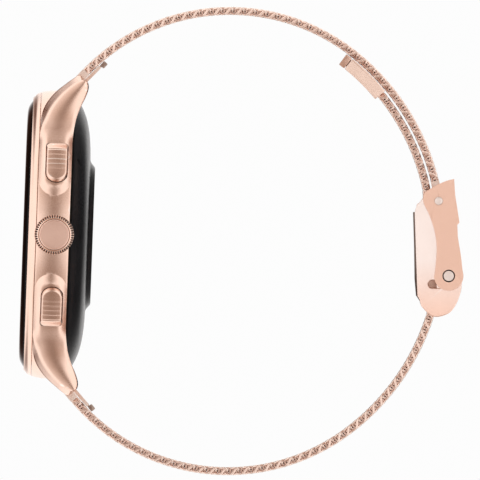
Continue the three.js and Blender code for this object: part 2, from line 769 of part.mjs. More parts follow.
function baseOutline() {
  const lowRound = fromPin([[4.2, -5.3], [4.1, -6.6], [3.5, -8.58], [2.56, -10.05], [1.3, -10.74],
    [0.04, -10.94], [-0.94, -10.5], [-1.9, -9.6], [-2.27, -9.11]]);
  const wristEdge = inward([[1.71, -7.69], [1.7, -6], [1.56, 0], [1.46, 5.7], [1.04, 6.7], [0, 8.02]]);
  const back = [
    [strapPin.y + 0.7, 5.3],
    [leverPin.y - 0.6, leverPin.z + 4],
    ...arcPoints(leverPin.y, leverPin.z, 1.35, 110, -20, 8),
  ];
  return [...lowRound, ...wristEdge, ...back].reverse();
}

function claspBase() {
  const wall = sidePlate(baseOutline(), baseInnerX, baseOuterX);
  const half = strapThickness / 2;
  const plateTop = 4.4;
  const plateLow = -8.2;
  const facing = clampOffset(half + 0.12);
  const outerFace = clampOffset(half + 0.12 + basePlate);
  const plate = sidePlate([
    facing(plateLow), outerFace(plateLow), outerFace(plateTop), facing(plateTop),
  ], -baseOuterX, baseOuterX);
  const lowBar = sidePlate([
    clampOffset(half + 0.72)(-7.9), clampOffset(half + 0.65)(-10.3), clampOffset(half + 1.04)(-10.5),
    ...fromPin([[2.5, -9.9], [3.3, -8.6], [3.4, -7.6], [2.4, -7.2]]),
  ].reverse(), -baseOuterX, baseOuterX);
  const [topBarY, topBarZ] = inward([[0.66, 6.75]])[0];
  const topBar = rod(0.42, -baseInnerX - 0.2, baseInnerX + 0.2, topBarY, topBarZ);
  const slot = sidePlate(slotOutline([strapPin.y - 0.63, -5.72], [strapPin.y + 0.45, -5.72], 0.62), -20, 20);
  const cutPlateBack = sidePlate([facing(-9), outerFace(-9), outerFace(5), facing(5)], -baseInnerX, baseInnerX);
  let body = wall.add(wall.mirror([1, 0, 0])).subtract(slot.subtract(cutPlateBack));
  body = body.add(plate).add(lowBar).add(topBar);
  body = body.subtract(rod(leverPinRadius + seatGap, -20, 20, leverPin.y, leverPin.z));
  return body.subtract(rod(flapPinRadius + seatGap, -flapPinReach - seatGap, flapPinReach + seatGap, flapPinY, flapPinZ));
}

// Point beside the clamped strap, so far outward of its middle, at height z.
function clampOffset(distance) {
  return (z) => [clampedY(z) + distance, z];
}

// Points [distance, z] set off from the clamped strap's wrist face toward the wrist.
function inward(points) {
  return points.map(([distance, z]) => [clampedY(z) - strapThickness / 2 - distance, z]);
}

const [flapPinY, flapPinZ] = inward([[0.79, -8.55]])[0];
const flapPinReach = baseOuterX - 0.3;

function lockFlap() {
  const halfWidth = baseInnerX - sideGap;
  const skin = [[2.09, -7.6], [2.03, -5], [1.84, 0], [1.69, 5.7]];
  const outer = inward(skin);
  const inner = inward([...skin.slice(1).reverse().map(([d, z]) => [d - flapThickness, z]), [1.18, -7.9]]);
  const knuckle = rod(0.78, -halfWidth, halfWidth, flapPinY, flapPinZ);
  const ribZ = 4.8;
  const rib = sidePlate(inward([[1.36, ribZ - 0.45], [0.08, ribZ - 0.3], [0.08, ribZ + 0.3], [1.36, ribZ + 0.45]]),
    -halfWidth + 1, halfWidth - 1);
  const hook = inward([[2.09, -7.6], [1.15, -7.6], [0.82, -8.3], [1.47, -8.9]]);
  const plate = sidePlate([...inner.reverse(), ...outer.reverse()].reverse(), -halfWidth, halfWidth);
  return plate.add(sidePlate(hook.reverse(), -halfWidth, halfWidth)).add(rib).add(knuckle)
    .subtract(rod(flapPinRadius + runGap, -20, 20, flapPinY, flapPinZ));
}

// Sleeve at the end of the 12 o'clock strap; its slotted eye lets it shift and turn on the strap pin.
function strapLoop() {
  const end = pointAt(meshEndS + seatGap);
  const half = strapThickness / 2;
  const tilt = strapPin.angle;
  const shift = (d) => [strapPin.y + d * Math.cos(tilt), strapPin.z + d * Math.sin(tilt)];
  const width = strapWidth / 2;
  const eye = slotOutline(shift(-loopPlayUp), shift(loopPlayDown), strapPinRadius + loopSlack + loopWall);
  const neck = [offset(end, -half), shiftSide(shift(-0.6), tilt, -half), shiftSide(shift(-0.6), tilt, half),
    offset(end, half)];
  const hole = slotOutline(shift(-loopPlayUp), shift(loopPlayDown), strapPinRadius + loopSlack);
  return sidePlate(eye, -width, width).add(sidePlate(neck, -width, width)).subtract(sidePlate(hole, -20, 20));
}

function shiftSide([y, z], tilt, distance) {
  return [y - distance * Math.sin(tilt), z + distance * Math.cos(tilt)];
}

function addClasp() {
  addPart("strap_12_loop", strapLoop(), roseGold);
  addPart("clasp_lever", claspLever(), roseGold);
  const head = rod(strapPinHead, cheekOuterX - 0.25, cheekOuterX + 0.1, strapPin.y, strapPin.z);
  addPart("strap_pin", rod(strapPinRadius, -cheekOuterX, cheekOuterX, strapPin.y, strapPin.z)
    .add(head).add(head.mirror([1, 0, 0])), paleGold);
  addPart("clasp_base", claspBase(), paleGold);
  addPart("lever_pin", rod(leverPinRadius, -cheekOuterX, cheekOuterX, leverPin.y, leverPin.z), paleGold);
  addPart("lock_flap", lockFlap(), darkSteel);
  addPart("lock_flap_pin", rod(flapPinRadius, -flapPinReach, flapPinReach, flapPinY, flapPinZ), steel);
}

addCase();
addInside();
addCrown();
addButton("upper", 1);
addButton("lower", -1);
addStrapRoot("12", 1);
addStrapRoot("6", -1);
addMesh12();
addMesh6();
addTail();
addClasp();

export default watch;
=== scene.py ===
"""Looks of the round smartwatch on its woven-mesh strap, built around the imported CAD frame.

Lengths are in millimetres until a mesh is made, where they become metres.
+X is 3 o'clock (crown side), +Y runs from the display to the wrist, +Z is 12 o'clock.
"""
import json
import math

import bmesh
import bpy
import numpy as np
from mathutils import Matrix, Vector


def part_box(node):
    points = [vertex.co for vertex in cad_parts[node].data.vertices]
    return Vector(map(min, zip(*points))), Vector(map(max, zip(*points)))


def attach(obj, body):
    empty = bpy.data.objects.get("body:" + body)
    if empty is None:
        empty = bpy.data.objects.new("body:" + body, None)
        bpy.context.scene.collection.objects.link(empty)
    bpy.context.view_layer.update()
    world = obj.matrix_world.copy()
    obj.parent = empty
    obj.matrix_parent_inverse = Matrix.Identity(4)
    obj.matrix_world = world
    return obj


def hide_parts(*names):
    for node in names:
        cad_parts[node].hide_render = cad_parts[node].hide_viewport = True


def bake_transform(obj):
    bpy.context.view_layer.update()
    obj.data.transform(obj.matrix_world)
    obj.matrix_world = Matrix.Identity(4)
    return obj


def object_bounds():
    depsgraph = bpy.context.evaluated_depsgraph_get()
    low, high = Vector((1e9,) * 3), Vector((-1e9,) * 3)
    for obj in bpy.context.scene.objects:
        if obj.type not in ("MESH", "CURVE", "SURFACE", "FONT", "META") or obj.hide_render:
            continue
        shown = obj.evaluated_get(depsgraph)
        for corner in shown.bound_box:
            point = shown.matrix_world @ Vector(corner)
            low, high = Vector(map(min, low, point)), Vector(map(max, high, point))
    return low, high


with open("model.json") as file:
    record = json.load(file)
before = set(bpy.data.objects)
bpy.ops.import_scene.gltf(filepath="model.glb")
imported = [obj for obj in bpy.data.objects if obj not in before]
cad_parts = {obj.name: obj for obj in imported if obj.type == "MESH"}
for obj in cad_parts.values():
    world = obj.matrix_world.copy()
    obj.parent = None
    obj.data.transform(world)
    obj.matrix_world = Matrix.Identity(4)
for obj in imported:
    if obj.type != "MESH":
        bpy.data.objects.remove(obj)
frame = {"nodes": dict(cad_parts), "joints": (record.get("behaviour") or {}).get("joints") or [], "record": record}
cad_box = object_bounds()

MM = 0.001
X_AXIS = (1, 0, 0)
Z_AXIS = (0, 0, 1)
THROUGH = 20  # half length of a cutter that goes right through


# ---------- places taken from the frame ----------
def node_box(name):
    low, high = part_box(name)
    return [v / MM for v in low], [v / MM for v in high]


def joint_place(name):
    """(y, z) of a hinge axis."""
    joint = next(j for j in frame["joints"] if j["name"] == name)
    x, y, z = joint["pos_m"]
    return y / MM, z / MM


BAR_Y, BAR_Z = joint_place("strap_12_swing")
CROWN_LOW, CROWN_HIGH = node_box("crown_knob")
AXIS_Y = (CROWN_LOW[1] + CROWN_HIGH[1]) / 2
CROWN_RADIUS = (CROWN_HIGH[2] - CROWN_LOW[2]) / 2
GLASS_LOW, GLASS_HIGH = node_box("front_glass")
BEZEL_LOW, _ = node_box("bezel")
_, COVER_HIGH = node_box("back_cover")
CAP_LOW, CAP_HIGH = node_box("crown_cap")
LEVER_PIN = joint_place("clasp_fold")
FLAP_PIN = joint_place("lock_flap_hinge")
STRAP_PIN_LOW, STRAP_PIN_HIGH = node_box("strap_pin")
STRAP_PIN = ((STRAP_PIN_LOW[1] + STRAP_PIN_HIGH[1]) / 2, (STRAP_PIN_LOW[2] + STRAP_PIN_HIGH[2]) / 2)

# ---------- driving dimensions ----------
CASE_RADIUS = 23.05
BAND_BACK_Y = -3.77
BAND_FRONT_Y = -9.05
BAND_SAG = 0.34
BORE_RADIUS = 21.05
PAD_RISE = 0.7
LUG_INNER_X = 11.2
BUTTON_ANGLE = 30
BUTTON_LENGTH = 7.6
BUTTON_WIDTH = 3.4
BUTTON_TOP = 24.55
BUTTON_FAR_END = 3.35
BUTTON_FAR_CORNER = 0.7
BUTTON_HALF_WIDTH = BUTTON_WIDTH / 2
BUTTON_NEAR = -(BUTTON_LENGTH - BUTTON_WIDTH) / 2  # centre of the end that is round
CROWN_TEETH = 48
STRAP_HALF_WIDTH = 11.0
STRAP_THICKNESS = 1.35
ROOT_ANGLE = math.radians(48.5)
ROOT_ALONG = 2.05
ROOT_OUT = 0.73
NEAR_RADIUS = 32.0
NEAR_LENGTH = NEAR_RADIUS * math.radians(86)
FAR_RADIUS = 37.0
WIRE_RADIUS = 0.2
COIL_REACH = 0.66
COIL_PITCH = 0.9
TURN_PITCH = 1.1
MESH_START = 0.35
CLASP_ENTRY_Z = 9.2
TAIL_START_Z = 9.8
TAIL_INSET = STRAP_THICKNESS + 0.25
TAIL_LENGTH = 26.5
TAIL_CAP_LENGTH = 8.8
BAR_RADIUS = 0.75
BAR_TIP_RADIUS = 0.42
BAR_HOLE_RADIUS = 0.48
SLOT_Z = -5.72
SLOT_RADIUS = 0.62


# ---------- small geometry helpers ----------
def fillet(points, radius, steps=5, closed=True):
    """The outline with its corners rounded; radius is one length or one for each corner."""
    pts = [np.array(p, float) for p in points]
    count = len(pts)
    radii = radius if isinstance(radius, (list, tuple)) else [radius] * count
    out = []
    for i, here in enumerate(pts):
        ends = not closed and i in (0, count - 1)
        if radii[i] <= 0 or ends:
            out.append(tuple(here))
            continue
        to_last = pts[i - 1] - here
        to_next = pts[(i + 1) % count] - here
        reach = min(radii[i], 0.48 * np.linalg.norm(to_last), 0.48 * np.linalg.norm(to_next))
        start = here + to_last / np.linalg.norm(to_last) * reach
        end = here + to_next / np.linalg.norm(to_next) * reach
        for k in range(steps + 1):
            t = k / steps
            out.append(tuple((1 - t) ** 2 * start + 2 * t * (1 - t) * here + t * t * end))
    return out


def arc(cy, cz, radius, start, end, steps):
    """Points of an arc, its angles in degrees."""
    angles = [math.radians(start + (end - start) * i / steps) for i in range(steps + 1)]
    return [(cy + radius * math.cos(a), cz + radius * math.sin(a)) for a in angles]


def spline(points, count):
    """Catmull-Rom curve through the points, sampled at equal steps of its parameter."""
    pts = np.array(points, float)
    pts = np.vstack([2 * pts[0] - pts[1], pts, 2 * pts[-1] - pts[-2]])
    out = []
    for i in range(count):
        t = i * (len(points) - 1) / (count - 1)
        k = min(int(t), len(points) - 2)
        f = t - k
        a, b, c, d = pts[k:k + 4]
        out.append(0.5 * (2 * b + (c - a) * f + (2 * a - 5 * b + 4 * c - d) * f * f
                          + (3 * b - a - 3 * c + d) * f ** 3))
    return np.array(out)


def smoothstep(value):
    t = np.clip(value, 0, 1)
    return t * t * (3 - 2 * t)


# ---------- meshes ----------
def new_object(name, mesh):
    obj = bpy.data.objects.new(name, mesh)
    bpy.context.scene.collection.objects.link(obj)
    return obj


def solid(name, verts, faces):
    """An object from points in millimetres, its faces turned outward and doubles merged."""
    mesh = bpy.data.meshes.new(name)
    mesh.from_pydata((np.array(verts, float) * MM).tolist(), [], faces)
    obj = new_object(name, mesh)
    work = bmesh.new()
    work.from_mesh(mesh)
    bmesh.ops.remove_doubles(work, verts=work.verts, dist=1e-7)
    bmesh.ops.dissolve_degenerate(work, edges=work.edges, dist=1e-7)
    bmesh.ops.recalc_face_normals(work, faces=work.faces)
    work.to_mesh(mesh)
    work.free()
    return obj


def ring_faces(rows, count, closed=True):
    """Faces between rings of count points; a closed set joins the last ring to the first."""
    faces = []
    for i in range(rows if closed else rows - 1):
        j = (i + 1) % rows
        for k in range(count):
            m = (k + 1) % count
            faces.append((i * count + k, i * count + m, j * count + m, j * count + k))
    return faces


def lathe(name, profile, segments=192, closed=True):
    """Profile of (radius, y) points turned about the Y axis."""
    verts = []
    for r, y in profile:
        for k in range(segments):
            a = 2 * math.pi * k / segments
            verts.append((r * math.sin(a), y, r * math.cos(a)))
    return solid(name, verts, ring_faces(len(profile), segments, closed))


def along_x(obj, y=0.0, z=0.0):
    """Turns a lathe about Y into one about X, through (y, z)."""
    turn = Matrix.Translation(Vector((0, y * MM, z * MM))) @ Matrix.Rotation(math.radians(-90), 4, "Z")
    obj.data.transform(turn)
    return obj


def rod(name, radius, x0, x1, y, z, edge=0.08, segments=40):
    """A pin along X with rounded ends."""
    profile = fillet([(0, x0), (radius, x0), (radius, x1), (0, x1)], [0, edge, edge, 0], 4, closed=False)
    return along_x(lathe(name, profile, segments, closed=False), y, z)


def plate(name, outline, x0, x1):
    """A side outline of (y, z) points thickened along X."""
    count = len(outline)
    verts = [(x0, y, z) for y, z in outline] + [(x1, y, z) for y, z in outline]
    faces = [tuple(range(count)), tuple(range(2 * count - 1, count - 1, -1))]
    faces += [(i, (i + 1) % count, count + (i + 1) % count, count + i) for i in range(count)]
    return solid(name, verts, faces)


def bevelled(obj, width, steps=3, angle=30):
    """Rounds every edge sharper than the angle."""
    work = bmesh.new()
    work.from_mesh(obj.data)
    bmesh.ops.dissolve_limit(work, angle_limit=math.radians(0.5), verts=work.verts, edges=work.edges)
    sharp = [e for e in work.edges if len(e.link_faces) == 2 and e.calc_face_angle(0) > math.radians(angle)]
    bmesh.ops.bevel(work, geom=sharp, offset=width * MM, segments=steps, profile=0.5, affect="EDGES",
                    clamp_overlap=True)
    work.to_mesh(obj.data)
    work.free()
    return obj


def apply_modifiers(obj):
    """Makes the object's modifiers part of its mesh."""
    bpy.context.view_layer.update()
    graph = bpy.context.evaluated_depsgraph_get()
    result = bpy.data.meshes.new_from_object(obj.evaluated_get(graph))
    obj.modifiers.clear()
    obj.data = result


def combine(target, other, operation):
    """Boolean of two solids; the second one goes."""
    step = target.modifiers.new("combine", "BOOLEAN")
    step.operation = operation
    step.object = other
    step.solver = "EXACT"
    apply_modifiers(target)
    bpy.data.objects.remove(other)
    return target


def join(target, other):
    return combine(target, other, "UNION")


def cut(target, other):
    return combine(target, other, "DIFFERENCE")


def shade(obj, angle=32):
    """Smooth shading with creases at edges sharper than the angle."""
    work = bmesh.new()
    work.from_mesh(obj.data)
    for face in work.faces:
        face.smooth = True
    for edge in work.edges:
        if len(edge.link_faces) == 2:
            edge.smooth = edge.calc_face_angle(0) < math.radians(angle)
    work.to_mesh(obj.data)
    work.free()
    return obj


def even_normals(obj):
    """Flat faces stay flat beside their rounded edges."""
    step = obj.modifiers.new("normals", "WEIGHTED_NORMAL")
    step.keep_sharp = True
    step.weight = 100
    apply_modifiers(obj)


def finish_piece(obj, body, material, replaced=(), angle=32):
    shade(obj, angle)
    even_normals(obj)
    obj.data.materials.clear()
    obj.data.materials.append(material)
    if body:
        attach(obj, body)
    if replaced:
        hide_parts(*replaced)
    return obj


def darken(obj, pick, material):
    """Gives the material to the faces that pick(face) chooses: painted shade in grooves, gaps and recesses and on
    side faces.
    """
    obj.data.materials.append(material)
    index = len(obj.data.materials) - 1
    for face in obj.data.polygons:
        if pick(face):
            face.material_index = index


def mirror(obj, axis):
    obj.data.transform(Matrix.Scale(-1, 4, axis))
    obj.data.flip_normals()
    return obj


def centre_mm(face):
    return tuple(v / MM for v in face.center)


def shell_faces(rows, columns):
    """Faces of a closed slab: a grid of outer points followed by the same grid of inner points."""
    inner = rows * columns
    faces = []
    for r in range(rows - 1):
        for c in range(columns - 1):
            a = r * columns + c
            faces.append((a, a + 1, a + columns + 1, a + columns))
            faces.append((inner + a + columns, inner + a + columns + 1, inner + a + 1, inner + a))
        for c in (0, columns - 1):
            a, b = r * columns + c, (r + 1) * columns + c
            faces.append((a, b, inner + b, inner + a))
    for r in (0, rows - 1):
        for c in range(columns - 1):
            a = r * columns + c
            faces.append((a, a + 1, inner + a + 1, inner + a))
    return faces


# ---------- materials ----------
def linear(r, g, b):
    """Scene-linear colour of an sRGB triple of 0 to 255."""
    def one(v):
        v /= 255
        return v / 12.92 if v <= 0.04045 else ((v + 0.055) / 1.055) ** 2.4
    return one(r), one(g), one(b), 1.0


def new_material(name):
    material = bpy.data.materials.new(name)
    material.use_nodes = True
    tree = material.node_tree
    shader = tree.nodes["Principled BSDF"]
    return material, tree, shader


def fill(tree, node, **inputs):
    """Sets a node's inputs by name, each to a plain value or to the output linked to it."""
    for key, value in inputs.items():
        socket = node.inputs[key.replace("_", " ")]
        if isinstance(value, bpy.types.NodeSocket):
            tree.links.new(value, socket)
        else:
            socket.default_value = value


def add_node(tree, kind, settings=None, **inputs):
    node = tree.nodes.new("ShaderNode" + kind)
    for key, value in (settings or {}).items():
        setattr(node, key, value)
    fill(tree, node, **inputs)
    return node


def calculate(tree, operation, *values):
    """Result of a Math node on other nodes' outputs."""
    node = add_node(tree, "Math", {"operation": operation})
    for value, socket in zip(values, node.inputs):
        tree.links.new(value, socket)
    return node.outputs["Value"]


def noise(tree, scale, detail=3.0, stretch=(1, 1, 1)):
    place = add_node(tree, "TexCoord").outputs["Object"]
    stretched = add_node(tree, "Mapping", Vector=place, Scale=stretch).outputs["Vector"]
    return add_node(tree, "TexNoise", Vector=stretched, Scale=scale, Detail=detail).outputs["Fac"]


def spread(tree, source, low=0, high=1, start=0.3, end=0.7):
    """The source's range from start to end stretched over low to high."""
    node = add_node(tree, "MapRange", Value=source, From_Min=start, From_Max=end, To_Min=low, To_Max=high)
    return node.outputs["Result"]


def mixed_colour(tree, factor, first, second):
    return add_node(tree, "Mix", {"data_type": "RGBA"}, Factor=factor, A=first, B=second).outputs["Result"]


def bump(tree, height, strength, distance):
    return add_node(tree, "Bump", Height=height, Strength=strength, Distance=distance).outputs["Normal"]


def over_shape(tree, below, colour, start, end):
    """Lays a colour over the mesh's raised edges, or over its hollows."""
    shape = add_node(tree, "NewGeometry").outputs["Pointiness"]
    return mixed_colour(tree, spread(tree, shape, start=start, end=end), below, colour)


def fade_along_z(tree, first, second, low, high):
    """The first colour below the low height and the second above the high one."""
    place = add_node(tree, "TexCoord").outputs["Object"]
    height = add_node(tree, "SeparateXYZ", Vector=place).outputs["Z"]
    return mixed_colour(tree, spread(tree, height, start=low * MM, end=high * MM), first, second)


DRIFT_SHADE = (0.95, 0.95, 0.95)
HOLLOW_PAINTED_SHADE = (0.45, 0.32, 0.26)
FADE_SHARE = 0.85


def tinted(colour, shade_factors):
    return tuple(c * k for c, k in zip(colour[:3], shade_factors)) + (1,)


def metal(name, colour, worn, roughness, metallic=1.0, grain=(1, 1, 1), grain_scale=9000, grain_strength=0.12,
          fade=None):
    """Plated steel: fine grain, slow colour drift, brighter worn edges and painted shade in the hollows.

    fade is (colour, low, high) of a second tone painted in above a height: painted light and shade that changes
    with height.
    """
    material, tree, shader = new_material(name)
    base = mixed_colour(tree, spread(tree, noise(tree, 160, 4)), tinted(colour, DRIFT_SHADE), colour)
    if fade:
        base = mixed_colour(tree, FADE_SHARE, base, fade_along_z(tree, colour, *fade))
    base = over_shape(tree, base, worn, 0.53, 0.62)
    # painted shade: concave spots take a darker tone, as if shaded
    base = over_shape(tree, base, tinted(colour, HOLLOW_PAINTED_SHADE), 0.47, 0.40)
    fine = noise(tree, grain_scale, 2, grain)
    smear = spread(tree, noise(tree, 420, 3), roughness * 0.85, roughness * 1.1)
    fill(tree, shader, Base_Color=base, Metallic=metallic,
         Roughness=calculate(tree, "ADD", smear, spread(tree, fine, -0.03, 0.04)),
         Normal=bump(tree, fine, grain_strength, 0.00002))
    return material


def dielectric(name, dark, light, roughness, grain_scale, grain_strength, coat=0.0, specular=0.5):
    """Moulded or glossy non-metal with a fine texture."""
    material, tree, shader = new_material(name)
    grain = noise(tree, grain_scale, 3)
    fill(tree, shader, Metallic=0.0, Specular_IOR_Level=specular, Coat_Weight=coat, Coat_Roughness=0.05,
         Base_Color=mixed_colour(tree, spread(tree, noise(tree, 240, 4)), dark, light),
         Roughness=spread(tree, grain, roughness * 0.85, roughness * 1.15),
         Normal=bump(tree, grain, grain_strength, 0.00003))
    return material


ROSE = linear(248, 214, 196)
ROSE_WORN = linear(255, 236, 224)
case_gold = metal("satin_rose_gold", ROSE, ROSE_WORN, 0.27, grain=(1, 12, 1))
polished_gold = metal("polished_rose_gold", ROSE, ROSE_WORN, 0.2, grain=(1, 1, 1), grain_strength=0.05)
button_gold = metal("button_rose_gold", ROSE, ROSE_WORN, 0.3, grain=(1, 10, 1))
# painted shade: the lever's colour darkens towards its top
lever_gold = metal("clasp_lever_gold", linear(255, 204, 178), linear(255, 212, 190), 0.4, metallic=0.2,
                   grain=(1, 1, 10), grain_strength=0.03, fade=(linear(240, 182, 157), -4, 7))
crown_face_gold = metal("crown_face_gold", linear(238, 200, 182), ROSE_WORN, 0.34, metallic=0.7,
                        grain_strength=0.03)
pin_gold = metal("pin_head_gold", linear(255, 240, 232), ROSE_WORN, 0.4, metallic=0.3)
# painted light: the clasp frame's colour pales to near white above its lower round end, which keeps a pinker tone
pale_gold = metal("pale_clasp_gold", linear(250, 208, 187), linear(255, 252, 250), 0.14, metallic=0.85,
                  grain=(1, 1, 8), grain_strength=0.02, fade=(linear(255, 243, 237), -11, -2))
tail_gold = metal("tail_cap_gold", linear(254, 224, 207), ROSE_WORN, 0.22, metallic=0.5, grain=(1, 1, 8),
                  grain_strength=0.02)
# painted shade for the tail cap's rolled end bar
tail_end_painted_shade = metal("tail_end_painted_shade", linear(206, 162, 140), linear(236, 200, 182), 0.34, metallic=0.6)
wire_gold = metal("woven_wire_gold", linear(252, 218, 201), ROSE_WORN, 0.32, metallic=0.85, grain_scale=5000)
# painted shade: the cross wires' darker tone stands in for the shade inside the weave
inner_wire = metal("inner_wire_painted_shade", linear(232, 194, 175), linear(240, 206, 190), 0.45, metallic=0.6,
                   grain_scale=5000)
steel = metal("bright_steel", linear(214, 208, 204), linear(240, 238, 236), 0.3)
# painted shade for the inside of the clasp frame's slot
painted_slot_shade = metal("painted_slot_shade", linear(232, 198, 180), linear(240, 212, 196), 0.5, metallic=0.1)
# painted shade for the lever's outline
painted_outline_shade = metal("painted_outline_shade", linear(150, 112, 94), linear(190, 152, 132), 0.45)
lever_steel = metal("release_lever_steel", linear(168, 142, 128), linear(205, 186, 174), 0.35)
# painted shade: a dark tone for the lock flap and the tail neck, which stand where shade falls
dark_steel = metal("dark_steel", linear(96, 84, 78), linear(140, 128, 120), 0.4)
copper = metal("copper_coil", linear(214, 140, 96), linear(240, 180, 140), 0.35)
# painted shade for the crown's tooth gaps and the gap round the lever axle
painted_groove_shade = metal("painted_groove_shade", linear(52, 28, 20), linear(96, 62, 48), 0.6, metallic=0.3)
foil = metal("battery_foil", linear(170, 174, 180), linear(205, 208, 214), 0.45, grain_scale=2600,
             grain_strength=0.4)
black_glass = dielectric("black_cover_glass", linear(3, 3, 4), linear(5, 5, 6), 0.05, 900, 0.01,
                         specular=0.12)
back_black = dielectric("satin_back_plastic", linear(27, 27, 29), linear(34, 34, 36), 0.26, 14000, 0.1,
                        specular=0.12)
moulded_black = dielectric("moulded_black_plastic", linear(24, 24, 26), linear(34, 34, 36), 0.5, 9000, 0.25)
rubber = dielectric("seal_rubber", linear(18, 18, 18), linear(26, 26, 26), 0.75, 6000, 0.3)
board_green = dielectric("board_green", linear(20, 66, 44), linear(30, 88, 60), 0.45, 3000, 0.2)
led_green = dielectric("led_window_green", linear(22, 60, 44), linear(34, 84, 60), 0.12, 2000, 0.05, coat=0.5)
SLOT_MATERIALS = {
    "rose_gold": case_gold, "pale_gold": pale_gold, "mesh_gold": wire_gold, "steel": steel,
    "dark_steel": dark_steel, "copper": copper, "cover_glass": black_glass, "display_black": black_glass,
    "back_plastic": back_black, "black_plastic": moulded_black, "seal_rubber": rubber,
    "board_green": board_green, "battery_foil": foil,
}


def dress_cad_nodes():
    """Every carried-over CAD node gets the finish of its slot."""
    for row in frame["record"]["subparts"]:
        obj = frame["nodes"][row["node"]]
        material = SLOT_MATERIALS[row["material_slot"]]
        if not obj.material_slots:
            obj.data.materials.append(material)
        for place in obj.material_slots:
            place.link = "OBJECT"
            place.material = material


# ---------- camera, light and floor ----------
def add_camera():
    camera = bpy.data.cameras.new("camera")
    camera.type = "ORTHO"
    camera.ortho_scale = 0.0768
    camera.clip_end = 5
    obj = new_object("camera", camera)
    back = Vector((1, 0, 0))
    up = Vector((0, -0.0363, 0.9993)).normalized()
    right = up.cross(back)
    turn = Matrix((right, up, back)).transposed().to_4x4()
    obj.matrix_world = Matrix.Translation(Vector((0.4, 0.02356, 0.00023))) @ turn
    bpy.context.scene.camera = obj


def world_zone(tree, direction, low, high, colour, below, fan=False):
    """Mixes a colour over the sky within an angle of a direction, or of the plane across it for a fan.

    A fan fades out behind the watch, on its 9 o'clock side.
    """
    place = add_node(tree, "TexCoord").outputs["Generated"]
    dot = add_node(tree, "VectorMath", {"operation": "DOT_PRODUCT"})
    dot.inputs[1].default_value = Vector(direction).normalized()
    tree.links.new(place, dot.inputs[0])
    value = dot.outputs["Value"]
    limit = math.cos
    if fan:
        value = calculate(tree, "ABSOLUTE", value)
        limit = math.sin
    ramp = add_node(tree, "MapRange", {"interpolation_type": "SMOOTHSTEP"}, Value=value,
                    From_Min=limit(math.radians(high)), From_Max=limit(math.radians(low)))
    factor = ramp.outputs["Result"]
    if fan:
        east = add_node(tree, "SeparateXYZ", Vector=place).outputs["X"]
        factor = calculate(tree, "MULTIPLY", factor, spread(tree, east, start=-0.2, end=0.3))
    return mixed_colour(tree, factor, below, colour + (1,))


def add_light():
    """A white studio: a dim warm fan and a small white card at the 3 o'clock side, dimmer above and below it,
    and dark flags before and behind the watch."""
    world = bpy.data.worlds.new("studio")
    world.use_nodes = True
    bpy.context.scene.world = world
    tree = world.node_tree
    background = tree.nodes["Background"]
    sky = world_zone(tree, (0.6, 0, 0.8), 14, 46, (0.72, 0.6, 0.53), (1.24, 1.22, 1.21, 1))
    sky = world_zone(tree, (0.6, 0, -0.8), 14, 46, (0.6, 0.48, 0.42), sky)
    sky = world_zone(tree, (0, 1, 0), 3, 24, (0.32, 0.24, 0.2), sky, fan=True)
    sky = world_zone(tree, (1, 0, 0), 5, 9, (1.08, 1.05, 1.04), sky)
    sky = world_zone(tree, (-0.75, -0.65, 0.05), 20, 40, (0.13, 0.055, 0.035), sky)
    sky = world_zone(tree, (-0.65, 0.76, 0), 15, 40, (0.03, 0.03, 0.03), sky)
    seen = add_node(tree, "LightPath").outputs["Is Camera Ray"]
    fill(tree, background, Color=mixed_colour(tree, seen, sky, (0.98, 0.98, 0.98, 1)))


def add_floor():
    low = cad_box[0][2] - 0.0002
    half = 1.5
    mesh = bpy.data.meshes.new("floor")
    mesh.from_pydata([(-half, -half, low), (half, -half, low), (half, half, low), (-half, half, low)], [],
                     [(0, 1, 2, 3)])
    obj = new_object("floor", mesh)
    material = dielectric("pale_floor", linear(240, 240, 240), linear(246, 246, 246), 0.8, 300, 0.02)
    mesh.materials.append(material)
    obj.visible_glossy = False


# ---------- case ----------
def band_sag(y):
    middle = (BAND_BACK_Y + BAND_FRONT_Y) / 2
    half = (BAND_BACK_Y - BAND_FRONT_Y) / 2
    return BAND_SAG * ((y - middle) / half) ** 2


def case_band():
    ys = np.linspace(BAND_BACK_Y, BAND_FRONT_Y, 15)
    outer = [(CASE_RADIUS - band_sag(y), y) for y in ys]
    corners = [(BORE_RADIUS, BAND_BACK_Y)] + outer + [(BORE_RADIUS, BAND_FRONT_Y)]
    radii = [0, 0.3] + [0] * (len(outer) - 2) + [0.12, 0]
    return lathe("case_band", fillet(corners, radii, 4), 240)


# Rows of the case side, from the pad's end by the crown out to the lug's tip:
# front edge, inner line of the front facet, and back edge, each as (y, z).
SIDE_ROWS = [
    ((-8.98, 8.8), (-8.98, 8.8), (-3.84, 8.8)),
    ((-8.98, 12.4), (-8.98, 12.4), (-3.82, 12.1)),
    ((-9.0, 16.2), (-9.0, 16.2), (-3.78, 15.4)),
    ((-8.93, 18.7), (-8.47, 18.12), (-3.4, 18.3)),
    ((-8.3, 20.75), (-7.59, 20.23), (-2.78, 20.3)),
    ((-6.85, 22.75), (-6.1, 22.3), (-2.08, 21.8)),
    ((-5.0, 24.35), (-4.35, 24.0), (-1.62, 23.05)),
    ((-3.75, 25.3), (-3.3, 24.75), (-1.5, 23.85)),
    ((-3.02, 25.72), (-2.7, 24.95), (-1.6, 24.45)),
]
PAD_MIDDLE = (SIDE_ROWS[0][0][0] + SIDE_ROWS[0][2][0]) / 2
PAD_HALF = (SIDE_ROWS[0][2][0] - SIDE_ROWS[0][0][0]) / 2
PAD_TOP = SIDE_ROWS[0][0][1]
LUG_START_Z = 15.0
LUG_PLAN = [(17.0, 16.75), (19.0, 15.4), (21.0, 14.62), (23.0, 14.15), (24.6, 13.9), (25.8, 13.6)]
FACET_COLUMNS = 4
FACET_DEPTH = 2.3  # for each unit of the facet's width
BODY_COLUMNS = 22


